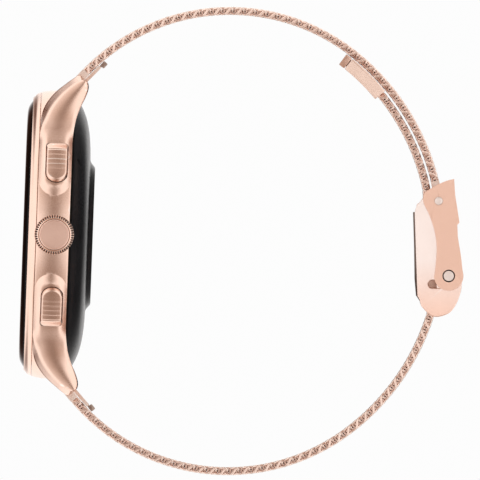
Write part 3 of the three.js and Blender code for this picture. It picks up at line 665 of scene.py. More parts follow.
def plan_x(z, radius):
    """Outermost X of the case side at height z: the circle, then the lug's fairing."""
    if z <= LUG_START_Z:
        return math.sqrt(radius ** 2 - z ** 2)
    start = (LUG_START_Z, math.sqrt(radius ** 2 - LUG_START_Z ** 2))
    points = spline([start] + LUG_PLAN, 120)
    return float(np.interp(z, points[:, 0], points[:, 1]))


def inner_x(z):
    reach = CASE_RADIUS - 0.9
    return max(LUG_INNER_X, math.sqrt(max(reach ** 2 - z ** 2, 0)))


def side_rows(first_z, stations):
    """Front, facet and back points from the pad or lug start to the tip."""
    front = spline([row[0] for row in SIDE_ROWS], stations)
    facet = spline([row[1] for row in SIDE_ROWS], stations)
    back = spline([row[2] for row in SIDE_ROWS], stations)
    keep = (front[:, 1] >= first_z) & (back[:, 1] >= first_z)
    return front[keep], facet[keep], back[keep]


def pad_end_rows():
    """Rows that close the pad's round end, from its outermost point to full width."""
    rows = []
    for angle in np.linspace(4, 88, 22):
        z = PAD_TOP - PAD_HALF * math.cos(math.radians(angle))
        reach = PAD_HALF * math.sin(math.radians(angle))
        rows.append(((PAD_MIDDLE - reach, z), (PAD_MIDDLE - reach, z), (PAD_MIDDLE + reach, z)))
    return rows


def case_side(name, padded):
    """Guard pad and lug in one smooth piece; without the pad it is the lug alone."""
    front, facet, back = side_rows(8.0 if padded else 13.0, 90)
    rows = [(tuple(f), tuple(i), tuple(b)) for f, i, b in zip(front, facet, back)]
    if padded:
        rows = pad_end_rows() + rows

    def height(y, z, across):
        radius = CASE_RADIUS - 0.02
        off_middle = abs(2 * across - 1)
        if padded and z < PAD_TOP + 3:
            off_middle = min(abs(y - PAD_MIDDLE) / PAD_HALF, 1)
            out = math.hypot(y - PAD_MIDDLE, max(PAD_TOP - z, 0))
            reach = max(PAD_HALF - out, 0)
            end_share = (max(PAD_TOP - z, 0) / max(out, 1e-6)) ** 2
            chamfer = min(reach / 1.6, 1)
            roll = math.sin(math.pi / 2 * min(reach / 1.2, 1))
            radius += (PAD_RISE + 0.02) * (end_share * chamfer + (1 - end_share) * roll)
        elif padded:
            radius += (PAD_RISE + 0.02) * math.sin(math.pi / 2 * min(PAD_HALF * (1 - off_middle) / 1.2, 1))
        else:
            radius += 0.07 - 0.35 * (1 - float(smoothstep((z - 13) / 2.5)))
        swell = float(smoothstep((z - 14) / 5))
        sag = BAND_SAG + 0.25 * swell
        round_off = sag * off_middle ** 2 + 0.2 * swell * float(smoothstep((off_middle - 0.86) / 0.14))
        return plan_x(z, radius) - round_off

    verts = []
    columns = FACET_COLUMNS + BODY_COLUMNS
    for f, i, b in rows:
        f, i, b = np.array(f), np.array(i), np.array(b)
        depth = FACET_DEPTH * np.linalg.norm(i - f)
        for c in range(columns):
            if c < FACET_COLUMNS:
                share = c / FACET_COLUMNS
                y, z = f + (i - f) * share
                x = height(i[0], i[1], 0) - depth * (1 - share)
            else:
                across = (c - FACET_COLUMNS) / (BODY_COLUMNS - 1)
                y, z = i + (b - i) * across
                x = height(y, z, across)
            verts.append((x, y, z))
    for f, i, b in rows:
        for c in range(columns):
            y, z = np.array(f) + (np.array(b) - np.array(f)) * c / (columns - 1)
            verts.append((inner_x(z), y, z))
    return solid(name, verts, shell_faces(len(rows), columns))


def pill(margin, side, steps=14):
    """Button outline: round toward the crown, squarer at the far end."""
    half_width = BUTTON_HALF_WIDTH + margin
    near = BUTTON_NEAR
    far = BUTTON_FAR_END + min(margin, 0.04)
    corners = fillet([(AXIS_Y + half_width, near), (AXIS_Y + half_width, far), (AXIS_Y - half_width, far),
                      (AXIS_Y - half_width, near)], [0, BUTTON_FAR_CORNER, BUTTON_FAR_CORNER, 0], 6)
    outline = corners[:-1] + arc(AXIS_Y, near, half_width, 180, 360, steps)[:-1]
    return [(y, side * z) for y, z in outline]


def at_button(obj, side):
    obj.data.transform(Matrix.Rotation(math.radians(-side * BUTTON_ANGLE), 4, "Y"))
    return obj


def cut_controls(obj, side):
    """Pocket for the button."""
    pocket = at_button(plate("pocket", pill(0.12, side), CASE_RADIUS - 1.05, 30), side)
    return cut(obj, pocket)


def add_case():
    band = case_band()
    for side in (1, -1):
        near = case_side("near", True)
        far = mirror(case_side("far", False), X_AXIS)
        if side < 0:
            near, far = mirror(near, Z_AXIS), mirror(far, Z_AXIS)
        band = join(band, near)
        band = join(band, far)
    for side in (1, -1):
        band = cut_controls(band, side)
        band = cut(band, rod("hole", BAR_HOLE_RADIUS, -13, 13, BAR_Y, side * BAR_Z, 0, 24))
    band = cut(band, rod("tube_hole", 1.55, 19, 26, AXIS_Y, 0, 0, 48))
    finish_piece(band, "case", case_gold, ["mid_case"], angle=28)


def add_bezel():
    front = BEZEL_LOW[1]
    back = BAND_FRONT_Y - 0.05
    glass_edge = GLASS_HIGH[0]
    outer = spline([(glass_edge + 0.42, front), (22.0, front + 0.22), (22.42, front + 0.62),
                    (22.62, front + 0.98), (22.68, back - 0.06)], 16)
    profile = [(20.4, -9.4), (glass_edge + 0.05, -9.4), (glass_edge + 0.05, front + 0.05),
               (glass_edge + 0.12, front)]
    profile += [tuple(p) for p in outer] + [(22.6, back), (21.0, back), (21.0, -8.25), (20.4, -8.25)]
    finish_piece(lathe("case_bezel", profile, 240), "case", polished_gold, ["bezel"], angle=30)


def add_glass():
    edge = GLASS_HIGH[0]
    front = GLASS_LOW[1]
    back = GLASS_HIGH[1]
    curve = spline([(edge - 3.2, front), (edge - 2.0, front + 0.03), (edge - 1.15, front + 0.2),
                    (edge - 0.45, front + 0.58), (edge - 0.1, front + 0.86), (edge, back - 0.45)], 22)
    profile = [(0, front)] + [(edge * k / 6, front) for k in (1, 2, 3, 4)]
    profile += [tuple(p) for p in curve] + [(edge, back), (edge / 2, back), (0, back)]
    finish_piece(lathe("watch_glass", profile, 240, closed=False), "case", black_glass,
                 ["front_glass"])


def add_back():
    edge = COVER_HIGH[0]
    bump_r, base_r = 10.93, 11.85
    shell = spline([(base_r + 0.12, -0.79), (13.9, -0.86), (16.2, -1.08), (18.2, -1.48), (19.6, -1.96),
                    (20.9, -2.6), (21.8, -3.2), (edge, -3.5)], 34)
    bump_edge = fillet([(7.06, 0), (bump_r, 0), (base_r, -0.77), (13.0, -0.81)], [0, 0.25, 0.3, 0], 5,
                       closed=False)
    profile = [(7.06, -1.6)] + bump_edge[:-1] + [tuple(p) for p in shell]
    profile += [(21.0, -3.5), (21.0, -4.6), (17.9, -4.6), (17.9, -2.5), (11.9, -1.67)]
    cover = lathe("back_shell", profile, 240)
    slot = plate("slot", [(y, z + 11.7) for y, z in fillet(
        [(-3.0, 0.45), (-2.72, 0.62), (-2.1, -0.42), (-2.38, -0.6)], 0.16, 4)], 16.6, 24)
    cover = cut(cover, slot)
    finish_piece(cover, "case", back_black, ["back_cover"], angle=24)
    add_sensor()


def add_sensor():
    """Sensor glass with its ports: two emitters in the middle and four receivers round them."""
    profile = fillet([(0, -0.9), (7.0, -0.9), (7.0, 0.0), (0, 0.0)], [0, 0.05, 0.18, 0], 4, closed=False)
    glass = lathe("sensor_glass", profile, 128, closed=False)
    ports = [(0, 1.55, 1.0), (0, -1.55, 1.0)]
    ports += [(x, z, 0.95) for x, z in arc(0, 0, 4.4, 0, 270, 3)]
    for x, z, radius in ports:
        seat = lathe("seat", [(0, -0.16), (radius, -0.16), (radius, 0.5), (0, 0.5)], 40, closed=False)
        seat.data.transform(Matrix.Translation((x * MM, 0, z * MM)))
        glass = cut(glass, seat)
    finish_piece(glass, "case", black_glass, ["sensor_window"])
    for index, (x, z, radius) in enumerate(ports, 1):
        lens = lathe("lens", fillet([(0, -0.15), (radius - 0.04, -0.15), (radius - 0.04, -0.04), (0, 0.0)],
                                    [0, 0, 0.1, 0], 4, closed=False), 40, closed=False)
        lens.data.transform(Matrix.Translation((x * MM, 0, z * MM)))
        lens.name = f"sensor_port_{index}"
        finish_piece(lens, "case", led_green if index < 3 else moulded_black)


# ---------- crown ----------
def add_crown():
    """Knob with rounded teeth, a raised ring and a flat centre disc."""
    back, front = CROWN_LOW[0], CROWN_HIGH[0]
    depth = 0.42
    skirt = CROWN_RADIUS - 0.1
    rows = [
        (1.75, back + 0.9, 0), (1.75, back + 0.02, 0), (2.6, back, 0), (skirt - 0.1, back + 0.02, 0),
        (skirt, back + 0.12, 0), (skirt, back + 0.4, 0),
        (CROWN_RADIUS, back + 0.42, 1), (CROWN_RADIUS, front - 0.85, 1),
        (CROWN_RADIUS - 0.03, front - 0.6, 1), (CROWN_RADIUS - 0.12, front - 0.4, 1),
        (CROWN_RADIUS - 0.26, front - 0.24, 0.75), (CROWN_RADIUS - 0.42, front - 0.12, 0.3),
        (CROWN_RADIUS - 0.55, front - 0.06, 0), (2.62, front - 0.03, 0), (2.5, front - 0.1, 0),
        (2.46, front - 0.3, 0), (2.46, front - 0.52, 0),
    ]
    segments = CROWN_TEETH * 8
    verts = []
    for radius, x, teeth in rows:
        for k in range(segments):
            angle = 2 * math.pi * k / segments
            wave = 0.5 + 0.5 * math.cos(CROWN_TEETH * angle)
            r = radius - teeth * depth * wave ** 0.7
            verts.append((x, AXIS_Y + r * math.cos(angle), r * math.sin(angle)))
    wheel = solid("crown_wheel", verts, ring_faces(len(rows), segments))
    finish_piece(wheel, "crown", polished_gold, ["crown_knob"], angle=36)

    def in_groove(face):
        x, y, z = centre_mm(face)
        radius = math.hypot(y - AXIS_Y, z)
        wave = math.cos(CROWN_TEETH * math.atan2(z, y - AXIS_Y))
        return wave > 0.1 and radius > 2.7 and x > back + 0.39

    # painted shade: the valleys between the teeth take a dark tone where shade falls
    darken(wheel, in_groove, painted_groove_shade)
    cap_front = CAP_HIGH[0]
    cap = [(0, CAP_LOW[0]), (2.42, CAP_LOW[0]), (2.42, cap_front - 0.08), (2.38, cap_front - 0.02),
           (2.32, cap_front), (2.27, cap_front - 0.04), (2.22, cap_front - 0.1), (2.16, cap_front - 0.09),
           (0, cap_front - 0.08)]
    finish_piece(along_x(lathe("crown_face", cap, 96, closed=False), AXIS_Y, 0), "crown", crown_face_gold,
                 ["crown_cap"], angle=30)


# ---------- buttons ----------
def button_reach(z):
    """Half width of the button at a distance along it; negative is toward the crown."""
    half_width, near = BUTTON_HALF_WIDTH, BUTTON_NEAR
    if z < near:
        return math.sqrt(max(half_width ** 2 - (near - z) ** 2, 1e-6))
    over = max(z - (BUTTON_FAR_END - BUTTON_FAR_CORNER), 0)
    return half_width - BUTTON_FAR_CORNER + math.sqrt(max(BUTTON_FAR_CORNER ** 2 - over ** 2, 0))


def button_top(y, z, reach):
    """Height of the button's crowned, ribbed face, which sinks to the pad at its far end."""
    half_width, near = BUTTON_HALF_WIDTH, BUTTON_NEAR
    edge = reach - abs(y)
    if z < near:
        edge = half_width - math.hypot(y, z - near)
    radius = BUTTON_TOP - 0.72 * float(smoothstep((z - 1.6) / (BUTTON_FAR_END - 1.6)))
    top = math.sqrt(radius ** 2 - z ** 2) - 0.16 * (y / half_width) ** 2
    roll = 0.28 - 0.24 * float(smoothstep((z - 1.8) / 1.2))
    top -= roll * (1 - min(edge / 0.26, 1)) ** 2
    inside = float(smoothstep((half_width - 0.1 - abs(y)) / 0.14))
    ribbed = float(smoothstep((z + 2.75) / 0.3)) * float(smoothstep((2.6 - z) / 0.3))
    groove = (0.5 + 0.5 * math.cos(2 * math.pi * z / 0.86)) ** 5
    return top - 0.045 * inside * ribbed * groove


def button_cap(name, side):
    columns = 26
    floor = CASE_RADIUS - 0.6
    half_width, near = BUTTON_HALF_WIDTH, BUTTON_NEAR
    corner = BUTTON_FAR_END - BUTTON_FAR_CORNER
    places = [near - half_width * math.cos(math.radians(a)) for a in np.linspace(3, 87, 22)]
    places += list(np.linspace(near, corner, 120))
    places += [corner + BUTTON_FAR_CORNER * math.sin(math.radians(a)) for a in np.linspace(8, 88, 12)]
    rows = [(z, button_reach(z)) for z in places]
    verts = []
    for z, reach in rows:
        for c in range(columns):
            y = -math.cos(math.pi * c / (columns - 1)) * reach
            verts.append((button_top(y, z, reach), AXIS_Y + y, side * z))
    for z, reach in rows:
        for c in range(columns):
            verts.append((floor, AXIS_Y - math.cos(math.pi * c / (columns - 1)) * reach, side * z))
    cap = solid(name, verts, shell_faces(len(rows), columns))
    return join(cap, rod("stem", 0.6, BORE_RADIUS - 1.6, floor + 0.3, AXIS_Y, 0, 0.05, 32))


def add_buttons():
    for label, side in (("upper", 1), ("lower", -1)):
        cap = at_button(button_cap(f"{label}_button_top", side), side)
        finish_piece(cap, f"{label}_button", button_gold, [f"{label}_button_cap"], angle=36)


# ---------- strap path ----------
def from_bar(d, n):
    return (BAR_Y + d * math.cos(ROOT_ANGLE) - n * math.sin(ROOT_ANGLE),
            BAR_Z + d * math.sin(ROOT_ANGLE) + n * math.cos(ROOT_ANGLE))


def advance(point, length, radius):
    y, z, angle = point
    turned = angle - length / radius
    return (y - radius * (math.sin(turned) - math.sin(angle)),
            z + radius * (math.cos(turned) - math.cos(angle)), turned)


ROOT = from_bar(ROOT_ALONG, ROOT_OUT) + (ROOT_ANGLE,)
FAR_START = advance(ROOT, NEAR_LENGTH, NEAR_RADIUS)


def strap_at(s):
    """(y, z, heading) of the 12 o'clock strap's middle at a distance from its root."""
    if s <= NEAR_LENGTH:
        return advance(ROOT, s, NEAR_RADIUS)
    return advance(FAR_START, s - NEAR_LENGTH, FAR_RADIUS)


def beside(s, n):
    """Point n outward of the strap's middle."""
    y, z, angle = strap_at(s)
    return y - n * math.sin(angle), z + n * math.cos(angle)


def strap_distance(z):
    """Distance along the strap where it comes down to height z."""
    low, high = NEAR_LENGTH, NEAR_LENGTH + 40
    for _ in range(50):
        middle = (low + high) / 2
        if strap_at(middle)[1] > z:
            low = middle
        else:
            high = middle
    return low


# ---------- woven wire ----------
def tube(centre, radius, sides):
    """Points and faces of a capped round tube along a line of points."""
    tangent = np.gradient(centre, axis=0)
    tangent /= np.linalg.norm(tangent, axis=1)[:, None]
    normal = np.cross(tangent, np.array([0.93, 0.26, 0.26]))
    normal /= np.linalg.norm(normal, axis=1)[:, None]
    other = np.cross(tangent, normal)
    ring = np.linspace(0, 2 * math.pi, sides, endpoint=False)
    points = centre[:, None, :] + radius * (np.cos(ring)[None, :, None] * normal[:, None, :]
                                            + np.sin(ring)[None, :, None] * other[:, None, :])
    rows = len(centre)
    i, j = np.meshgrid(np.arange(rows - 1), np.arange(sides), indexing="ij")
    k = (j + 1) % sides
    quads = np.stack([i * sides + j, i * sides + k, (i + 1) * sides + k, (i + 1) * sides + j], -1)
    caps = [list(range(sides))[::-1], list(range((rows - 1) * sides, rows * sides))]
    return points.reshape(-1, 3), quads.reshape(-1, 4).tolist() + caps


def woven(name, places, half_width, first=0):
    """Flattened wire coils side by side, each threaded through the next, with cross wires inside them whose darker
    tone is painted shade seen through the weave's holes.

    places are (y, z, heading) of the coils; every second coil winds the other way, and the others
    end at both edges of the strap in a strand that crosses its coil.
    """
    turns = int(2 * half_width / TURN_PITCH)
    theta = np.linspace(0, 2 * math.pi * turns, turns * 12 + 1)
    lift = STRAP_THICKNESS / 2 - WIRE_RADIUS
    a = COIL_REACH * np.sign(np.cos(theta)) * np.abs(np.cos(theta)) ** 0.8
    b = lift * np.sign(np.sin(theta)) * np.abs(np.sin(theta)) ** 0.55
    along = np.linspace(-1, 1, 11)
    verts, faces, wires = [], [], []
    for index, (y, z, heading) in enumerate(places):
        hand = 1 if (index + first) % 2 == 0 else -1
        edge = half_width - WIRE_RADIUS - (0.42 if hand > 0 else 0.75)
        lines = [(edge * (1 - 2 * theta / theta[-1]), a, hand * b, WIRE_RADIUS, 6, 0)]
        # painted shade: darker cross wires that stop short of the edges fill the holes with the shade seen through
        # them
        for shift in (-0.24, 0.24):
            flat = np.linspace(-1, 1, 2)
            lines.append((flat * (half_width - 0.7), np.full(2, shift * COIL_PITCH), np.zeros(2), 0.33, 6, 1))
        if hand > 0:
            for end in (1, -1):
                lines.append((np.full(11, end * (half_width - WIRE_RADIUS)), COIL_REACH * 0.85 * along,
                              lift * 0.95 * np.sin(along * math.pi / 2), 0.21, 8, 0))
        for x, u, v, radius, sides, kind in lines:
            centre = np.stack([x, y + u * math.cos(heading) - v * math.sin(heading),
                               z + u * math.sin(heading) + v * math.cos(heading)], 1)
            points, quads = tube(centre, radius, sides)
            start = sum(len(part) for part in verts)
            verts.append(points)
            faces += [[corner + start for corner in face] for face in quads]
            wires += [kind] * len(quads)
    mesh = bpy.data.meshes.new(name)
    mesh.from_pydata((np.concatenate(verts) * MM).tolist(), [], faces)
    mesh.update()
    mesh.materials.append(wire_gold)
    mesh.materials.append(inner_wire)
    mesh.polygons.foreach_set("material_index", wires)
    return new_object(name, mesh)


def coil_places(s0, s1, side, inset=0.0):
    """Coil places along the strap path, inset toward the wrist."""
    count = int(round((s1 - s0) / COIL_PITCH))
    out = []
    for k in range(count):
        s = s0 + (k + 0.5) * (s1 - s0) / count
        y, z, angle = strap_at(s)
        py, pz = beside(s, -inset)
        out.append((py, pz, angle) if side > 0 else (py, -pz, -angle))
    return out


def woven_piece(name, places, body=None, replaced=(), first=0):
    piece = woven(name, places, STRAP_HALF_WIDTH, first)
    work = bmesh.new()
    work.from_mesh(piece.data)
    bmesh.ops.recalc_face_normals(work, faces=work.faces)
    for face in work.faces:
        face.smooth = True
    work.to_mesh(piece.data)
    work.free()
    if body:
        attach(piece, body)
    else:
        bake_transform(piece)
    if replaced:
        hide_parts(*replaced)
    return piece


def weave_side(label, side, cuts, joints):
    """Woven lengths of one strap side."""
    done = 0
    for index, (a, b, start, replaced) in enumerate(joints):
        places = coil_places(cuts[index], cuts[index + 1], side)
        woven_piece(f"woven_{label}_{index + 1}", places, replaced=replaced, first=done)
        done += len(places)


def clamped_line():
    """Ends of the straight stretch inside the clasp: the strap's entry and the tail's start."""
    entry_y, entry_z, _ = strap_at(strap_distance(CLASP_ENTRY_Z))
    return (entry_y, -entry_z), beside(strap_distance(TAIL_START_Z), -TAIL_INSET)


def clamped_y(z):
    low, high = clamped_line()
    return low[0] + (high[0] - low[0]) * (z - low[1]) / (high[1] - low[1])


def add_woven_strap():
    mesh_end = strap_distance(STRAP_PIN[1]) - 2.9
    weave_side("12", 1, [MESH_START, 28.8, 46.8, mesh_end], [
        ("strap_12_root", "strap_12_mid", 15, ["strap_12_a", "strap_12_b"]),
        ("strap_12_mid", "strap_12_far", 33, ["strap_12_c"]),
        ("strap_12_far", "strap_12_tip", 51, ["strap_12_d"])])
    weave_side("6", -1, [MESH_START, 36.0, strap_distance(CLASP_ENTRY_Z)], [
        ("strap_6_root", "strap_6_mid", 19, ["strap_6_a", "strap_6_b"]),
        ("strap_6_mid", "clasp", 43, ["strap_6_c"])])
    tail_start = strap_distance(TAIL_START_Z)
    cap_start = tail_start - TAIL_LENGTH + TAIL_CAP_LENGTH
    tail = coil_places(cap_start + 0.1, tail_start, 1, TAIL_INSET)
    woven_piece("woven_tail", tail, body="clasp", replaced=["strap_6_tail"])
    low, high = np.array(clamped_line())
    heading = math.atan2(high[1] - low[1], high[0] - low[0])
    count = int(math.hypot(*(high - low)) / COIL_PITCH)
    places = []
    for k in range(count):
        y, z = low + (high - low) * (k + 0.5) / count
        places.append((y, z, heading))
    woven_piece("woven_clamped", places, body="clasp", replaced=["strap_6_clasp"])


# ---------- strap ends ----------
def add_strap_ends():
    half = STRAP_THICKNESS / 2
    width = STRAP_HALF_WIDTH
    for label, side in (("12", 1), ("6", -1)):
        shoulder = [from_bar(0, -0.55), from_bar(1, -0.55), from_bar(1, ROOT_OUT - half),
                    from_bar(2.35, ROOT_OUT - half), from_bar(2.35, ROOT_OUT + half),
                    from_bar(0.4, ROOT_OUT + half), from_bar(-0.5, 0.5)]
        body = plate("shoulder", fillet(shoulder, [0, 0, 0.1, 0.2, 0.25, 0.4, 0], 4), -width, width)
        sleeve = rod("sleeve", 1.09, -width, width, BAR_Y, BAR_Z, 0.1, 48)
        body = join(body, sleeve)
        leg = fillet([from_bar(0.6, -0.5), from_bar(4.5, -0.6), from_bar(4.5, -0.04), from_bar(0.6, 0.03)],
                     [0, 0.2, 0.2, 0], 4)
        body = join(body, plate("leg", leg, -width + 1, width - 1))
        body = cut(body, rod("bore", 0.85, -THROUGH, THROUGH, BAR_Y, BAR_Z, 0, 40))
        window = [from_bar(0, -2), from_bar(6, -2), from_bar(6, 0.02), from_bar(0, 0.02)]
        body = cut(body, plate("window", window, 5.45, 8.95))
        body.name = f"strap_link_{label}"
        pin = rod("pin", BAR_RADIUS, 6, 11.1, BAR_Y, BAR_Z, 0.08, 36)
        pin = join(pin, rod("tip", BAR_TIP_RADIUS, 10.5, 12.4, BAR_Y, BAR_Z, 0.12, 32))
        arm = [from_bar(0, -0.45), from_bar(5.2, -0.55), from_bar(5.2, -0.2), from_bar(0, -0.1)]
        arm = plate("arm", arm, 7.2, 8.8)
        pin = join(pin, arm)
        knob = plate("knob", fillet([from_bar(4.6, -0.95), from_bar(5.6, -0.95), from_bar(5.6, -0.15),
                                     from_bar(4.6, -0.15)], 0.2, 4), 7.1, 8.8)
        pin = join(pin, knob)
        pin.name = f"release_lever_{label}"
        bar = rod("bar", BAR_RADIUS, -11.1, 4.2, BAR_Y, BAR_Z, 0.08, 36)
        bar = join(bar, rod("bar_tip", BAR_TIP_RADIUS, -12.4, -10, BAR_Y, BAR_Z, 0.12, 32))
        bar.name = f"spring_rod_{label}"
        if side < 0:
            for piece in (body, pin, bar):
                mirror(piece, Z_AXIS)
        finish_piece(body, f"strap_{label}_root", button_gold, [f"strap_end_{label}"], angle=30)
        finish_piece(pin, f"quick_release_{label}", lever_steel, [f"quick_release_pin_{label}"],
                     angle=30)
        finish_piece(bar, f"strap_{label}_root", steel, [f"spring_bar_{label}"], angle=30)


def curved_bar(name, s0, s1, outer, inner, half_width, edge, stations=24):
    """A strip that follows the strap path, with rounded edges all round its section."""
    section = fillet([(-half_width, inner), (half_width, inner), (half_width, outer), (-half_width, outer)],
                     edge, 5)
    verts = []
    for k in range(stations + 1):
        s = s0 + (s1 - s0) * k / stations
        for x, n in section:
            y, z = beside(s, n)
            verts.append((x, y, z))
    count = len(section)
    faces = [tuple(range(count)), tuple(range((stations + 1) * count - 1, stations * count - 1, -1))]
    return solid(name, verts, faces + ring_faces(stations + 1, count, closed=False))


def add_tail_cap():
    tip = strap_distance(TAIL_START_Z) - TAIL_LENGTH
    outer = STRAP_THICKNESS / 2 - TAIL_INSET + (1.9 - STRAP_THICKNESS) / 2 - 0.1
    width = STRAP_HALF_WIDTH + 0.2
    root = tip + TAIL_CAP_LENGTH - 0.05
    body = curved_bar("tail_plate", tip + 1.25, root, outer + 0.03, outer - 2.05, width, 0.3)
    bevelled(body, 0.14, 3, 50)
    finish_piece(body, "clasp", tail_gold, ["strap_tail_cap"], angle=30)
    # painted shade: the end bar takes a darker tone than the plate, for the shade on its turned-away face
    roll = curved_bar("tail_end_bar", tip, tip + 1.15, outer + 0.03, outer - 2.05, width, 0.3, 6)
    bevelled(roll, 0.32, 5, 50)
    finish_piece(roll, "clasp", tail_end_painted_shade, angle=30)
    # painted shade: the recessed neck is dark, the shade in the gap between end bar and plate
    neck = curved_bar("tail_neck", tip + 1.0, tip + 1.4, outer - 0.3, outer - 1.6, width - 0.3, 0.1, 2)
    finish_piece(neck, "clasp", dark_steel, angle=30)


# ---------- clasp ----------
def from_pin(points):
    return [(STRAP_PIN[0] + y, z) for y, z in points]


BASE_INNER_X = STRAP_HALF_WIDTH + 0.3
BASE_OUTER_X = BASE_INNER_X + 0.75
CHEEK_INNER_X = BASE_OUTER_X + 0.15
CHEEK_OUTER_X = CHEEK_INNER_X + 0.8


def lever_outline():
    right = spline(from_pin([(2.35, 11.24), (2.6, 8.68), (3.1, 6.14), (3.45, 4.31)]), 14)
    lower = spline(from_pin([(3.12, 3.9), (3.25, 2.14), (3.85, -0.88), (4.2, -3.2)]), 14)
    left = spline(from_pin([(-0.11, -2.62), (-0.05, 0.1), (-0.46, 2.65), (-1.35, 5.18), (-2.4, 7.22),
                            (-2.5, 8.5)]), 30)
    top = spline(from_pin([(-2.25, 8.95), (-0.57, 10.05), (1.0, 10.85), (2.2, 11.2)]), 12)
    points = [tuple(p) for p in right] + [tuple(p) for p in lower]
    points += arc(LEVER_PIN[0], LEVER_PIN[1], 2.35, 14, -172, 28)
    points += [tuple(p) for p in left] + [tuple(p) for p in top]
    return points


def lever_plate_outline():
    t = 0.8
    low = LEVER_PIN[1] + 1.75
    return from_pin([(2.35, 11.2), (2.6, 8.68), (3.1, 6.14), (3.43, 4.31), (3.12, 3.9), (3.25, 2.14),
                     (3.83, -0.88), (4.06, low), (4.06 - t, low), (3.85 - t, -0.88), (3.25 - t, 2.14),
                     (3.12 - t, 3.9),
                     (2.6 - t, 8.68), (1.6, 10.95)])


def add_lever():
    outline = lever_outline()
    lever = plate("lever", outline, CHEEK_INNER_X, CHEEK_OUTER_X)
    lever = join(lever, plate("cheek", outline, -CHEEK_OUTER_X, -CHEEK_INNER_X))
    lever = join(lever, plate("face", lever_plate_outline(), -CHEEK_OUTER_X + 0.02, CHEEK_OUTER_X - 0.02))
    lever = cut(lever, rod("eye", 0.5, -THROUGH, THROUGH, *STRAP_PIN, 0, 32))
    lever = cut(lever, rod("eye", 1.02, -THROUGH, THROUGH, *LEVER_PIN, 0, 40))
    for side in (1, -1):
        x0, x1 = sorted((side * (CHEEK_OUTER_X - 0.3), side * THROUGH))
        lever = cut(lever, rod("seat", 0.69, x0, x1, *STRAP_PIN, 0, 40))
    lever.name = "fold_lever"
    bevelled(lever, 0.18, 3, 40)
    finish_piece(lever, "clasp_lever", lever_gold, ["clasp_lever"], angle=28)
    # painted shade: the lever's side faces and edge rounds take a dark tone, the shade in the gap round the lever
    darken(lever, lambda face: abs(face.normal.x) < 0.9 and face.normal.y < 0.3, painted_outline_shade)
    pin = rod("strap_pin_shaft", 0.45, -CHEEK_OUTER_X, CHEEK_OUTER_X, *STRAP_PIN, 0.05, 32)
    dome = [(0, CHEEK_OUTER_X - 0.25), (0.64, CHEEK_OUTER_X - 0.25), (0.64, CHEEK_OUTER_X - 0.02),
            (0.52, CHEEK_OUTER_X + 0.06), (0.3, CHEEK_OUTER_X + 0.095), (0, CHEEK_OUTER_X + 0.1)]
    for side in (1, -1):
        cap = along_x(lathe("dome", dome, 40, closed=False), 0, 0)
        if side < 0:
            mirror(cap, X_AXIS)
        cap.data.transform(Matrix.Translation((0, STRAP_PIN[0] * MM, STRAP_PIN[1] * MM)))
        pin = join(pin, cap)
    finish_piece(pin, "clasp_lever", pin_gold, ["strap_pin"], angle=30)


def base_outline():
    low_round = spline(from_pin([(4.2, -5.3), (4.1, -6.6), (3.5, -8.58), (2.56, -10.05), (1.3, -10.74),
                                 (0.04, -10.94), (-0.94, -10.5), (-1.9, -9.6), (-2.27, -9.11),
                                 (-2.46, -8.31)]), 30)
    wrist = fillet(from_pin([(-2.85, -7.69), (-3.0, -6), (-3.4, 0), (-3.82, 5.7), (-3.49, 6.7), (-2.57, 8.02)]),
                   [0, 0, 0, 0.5, 0.3, 0], 4, closed=False)
    back = [(STRAP_PIN[0] + 0.7, 5.3), (LEVER_PIN[0] - 0.6, LEVER_PIN[1] + 4)]
    return [tuple(p) for p in low_round] + wrist + back + arc(LEVER_PIN[0], LEVER_PIN[1], 1.35, 110, -20, 10)


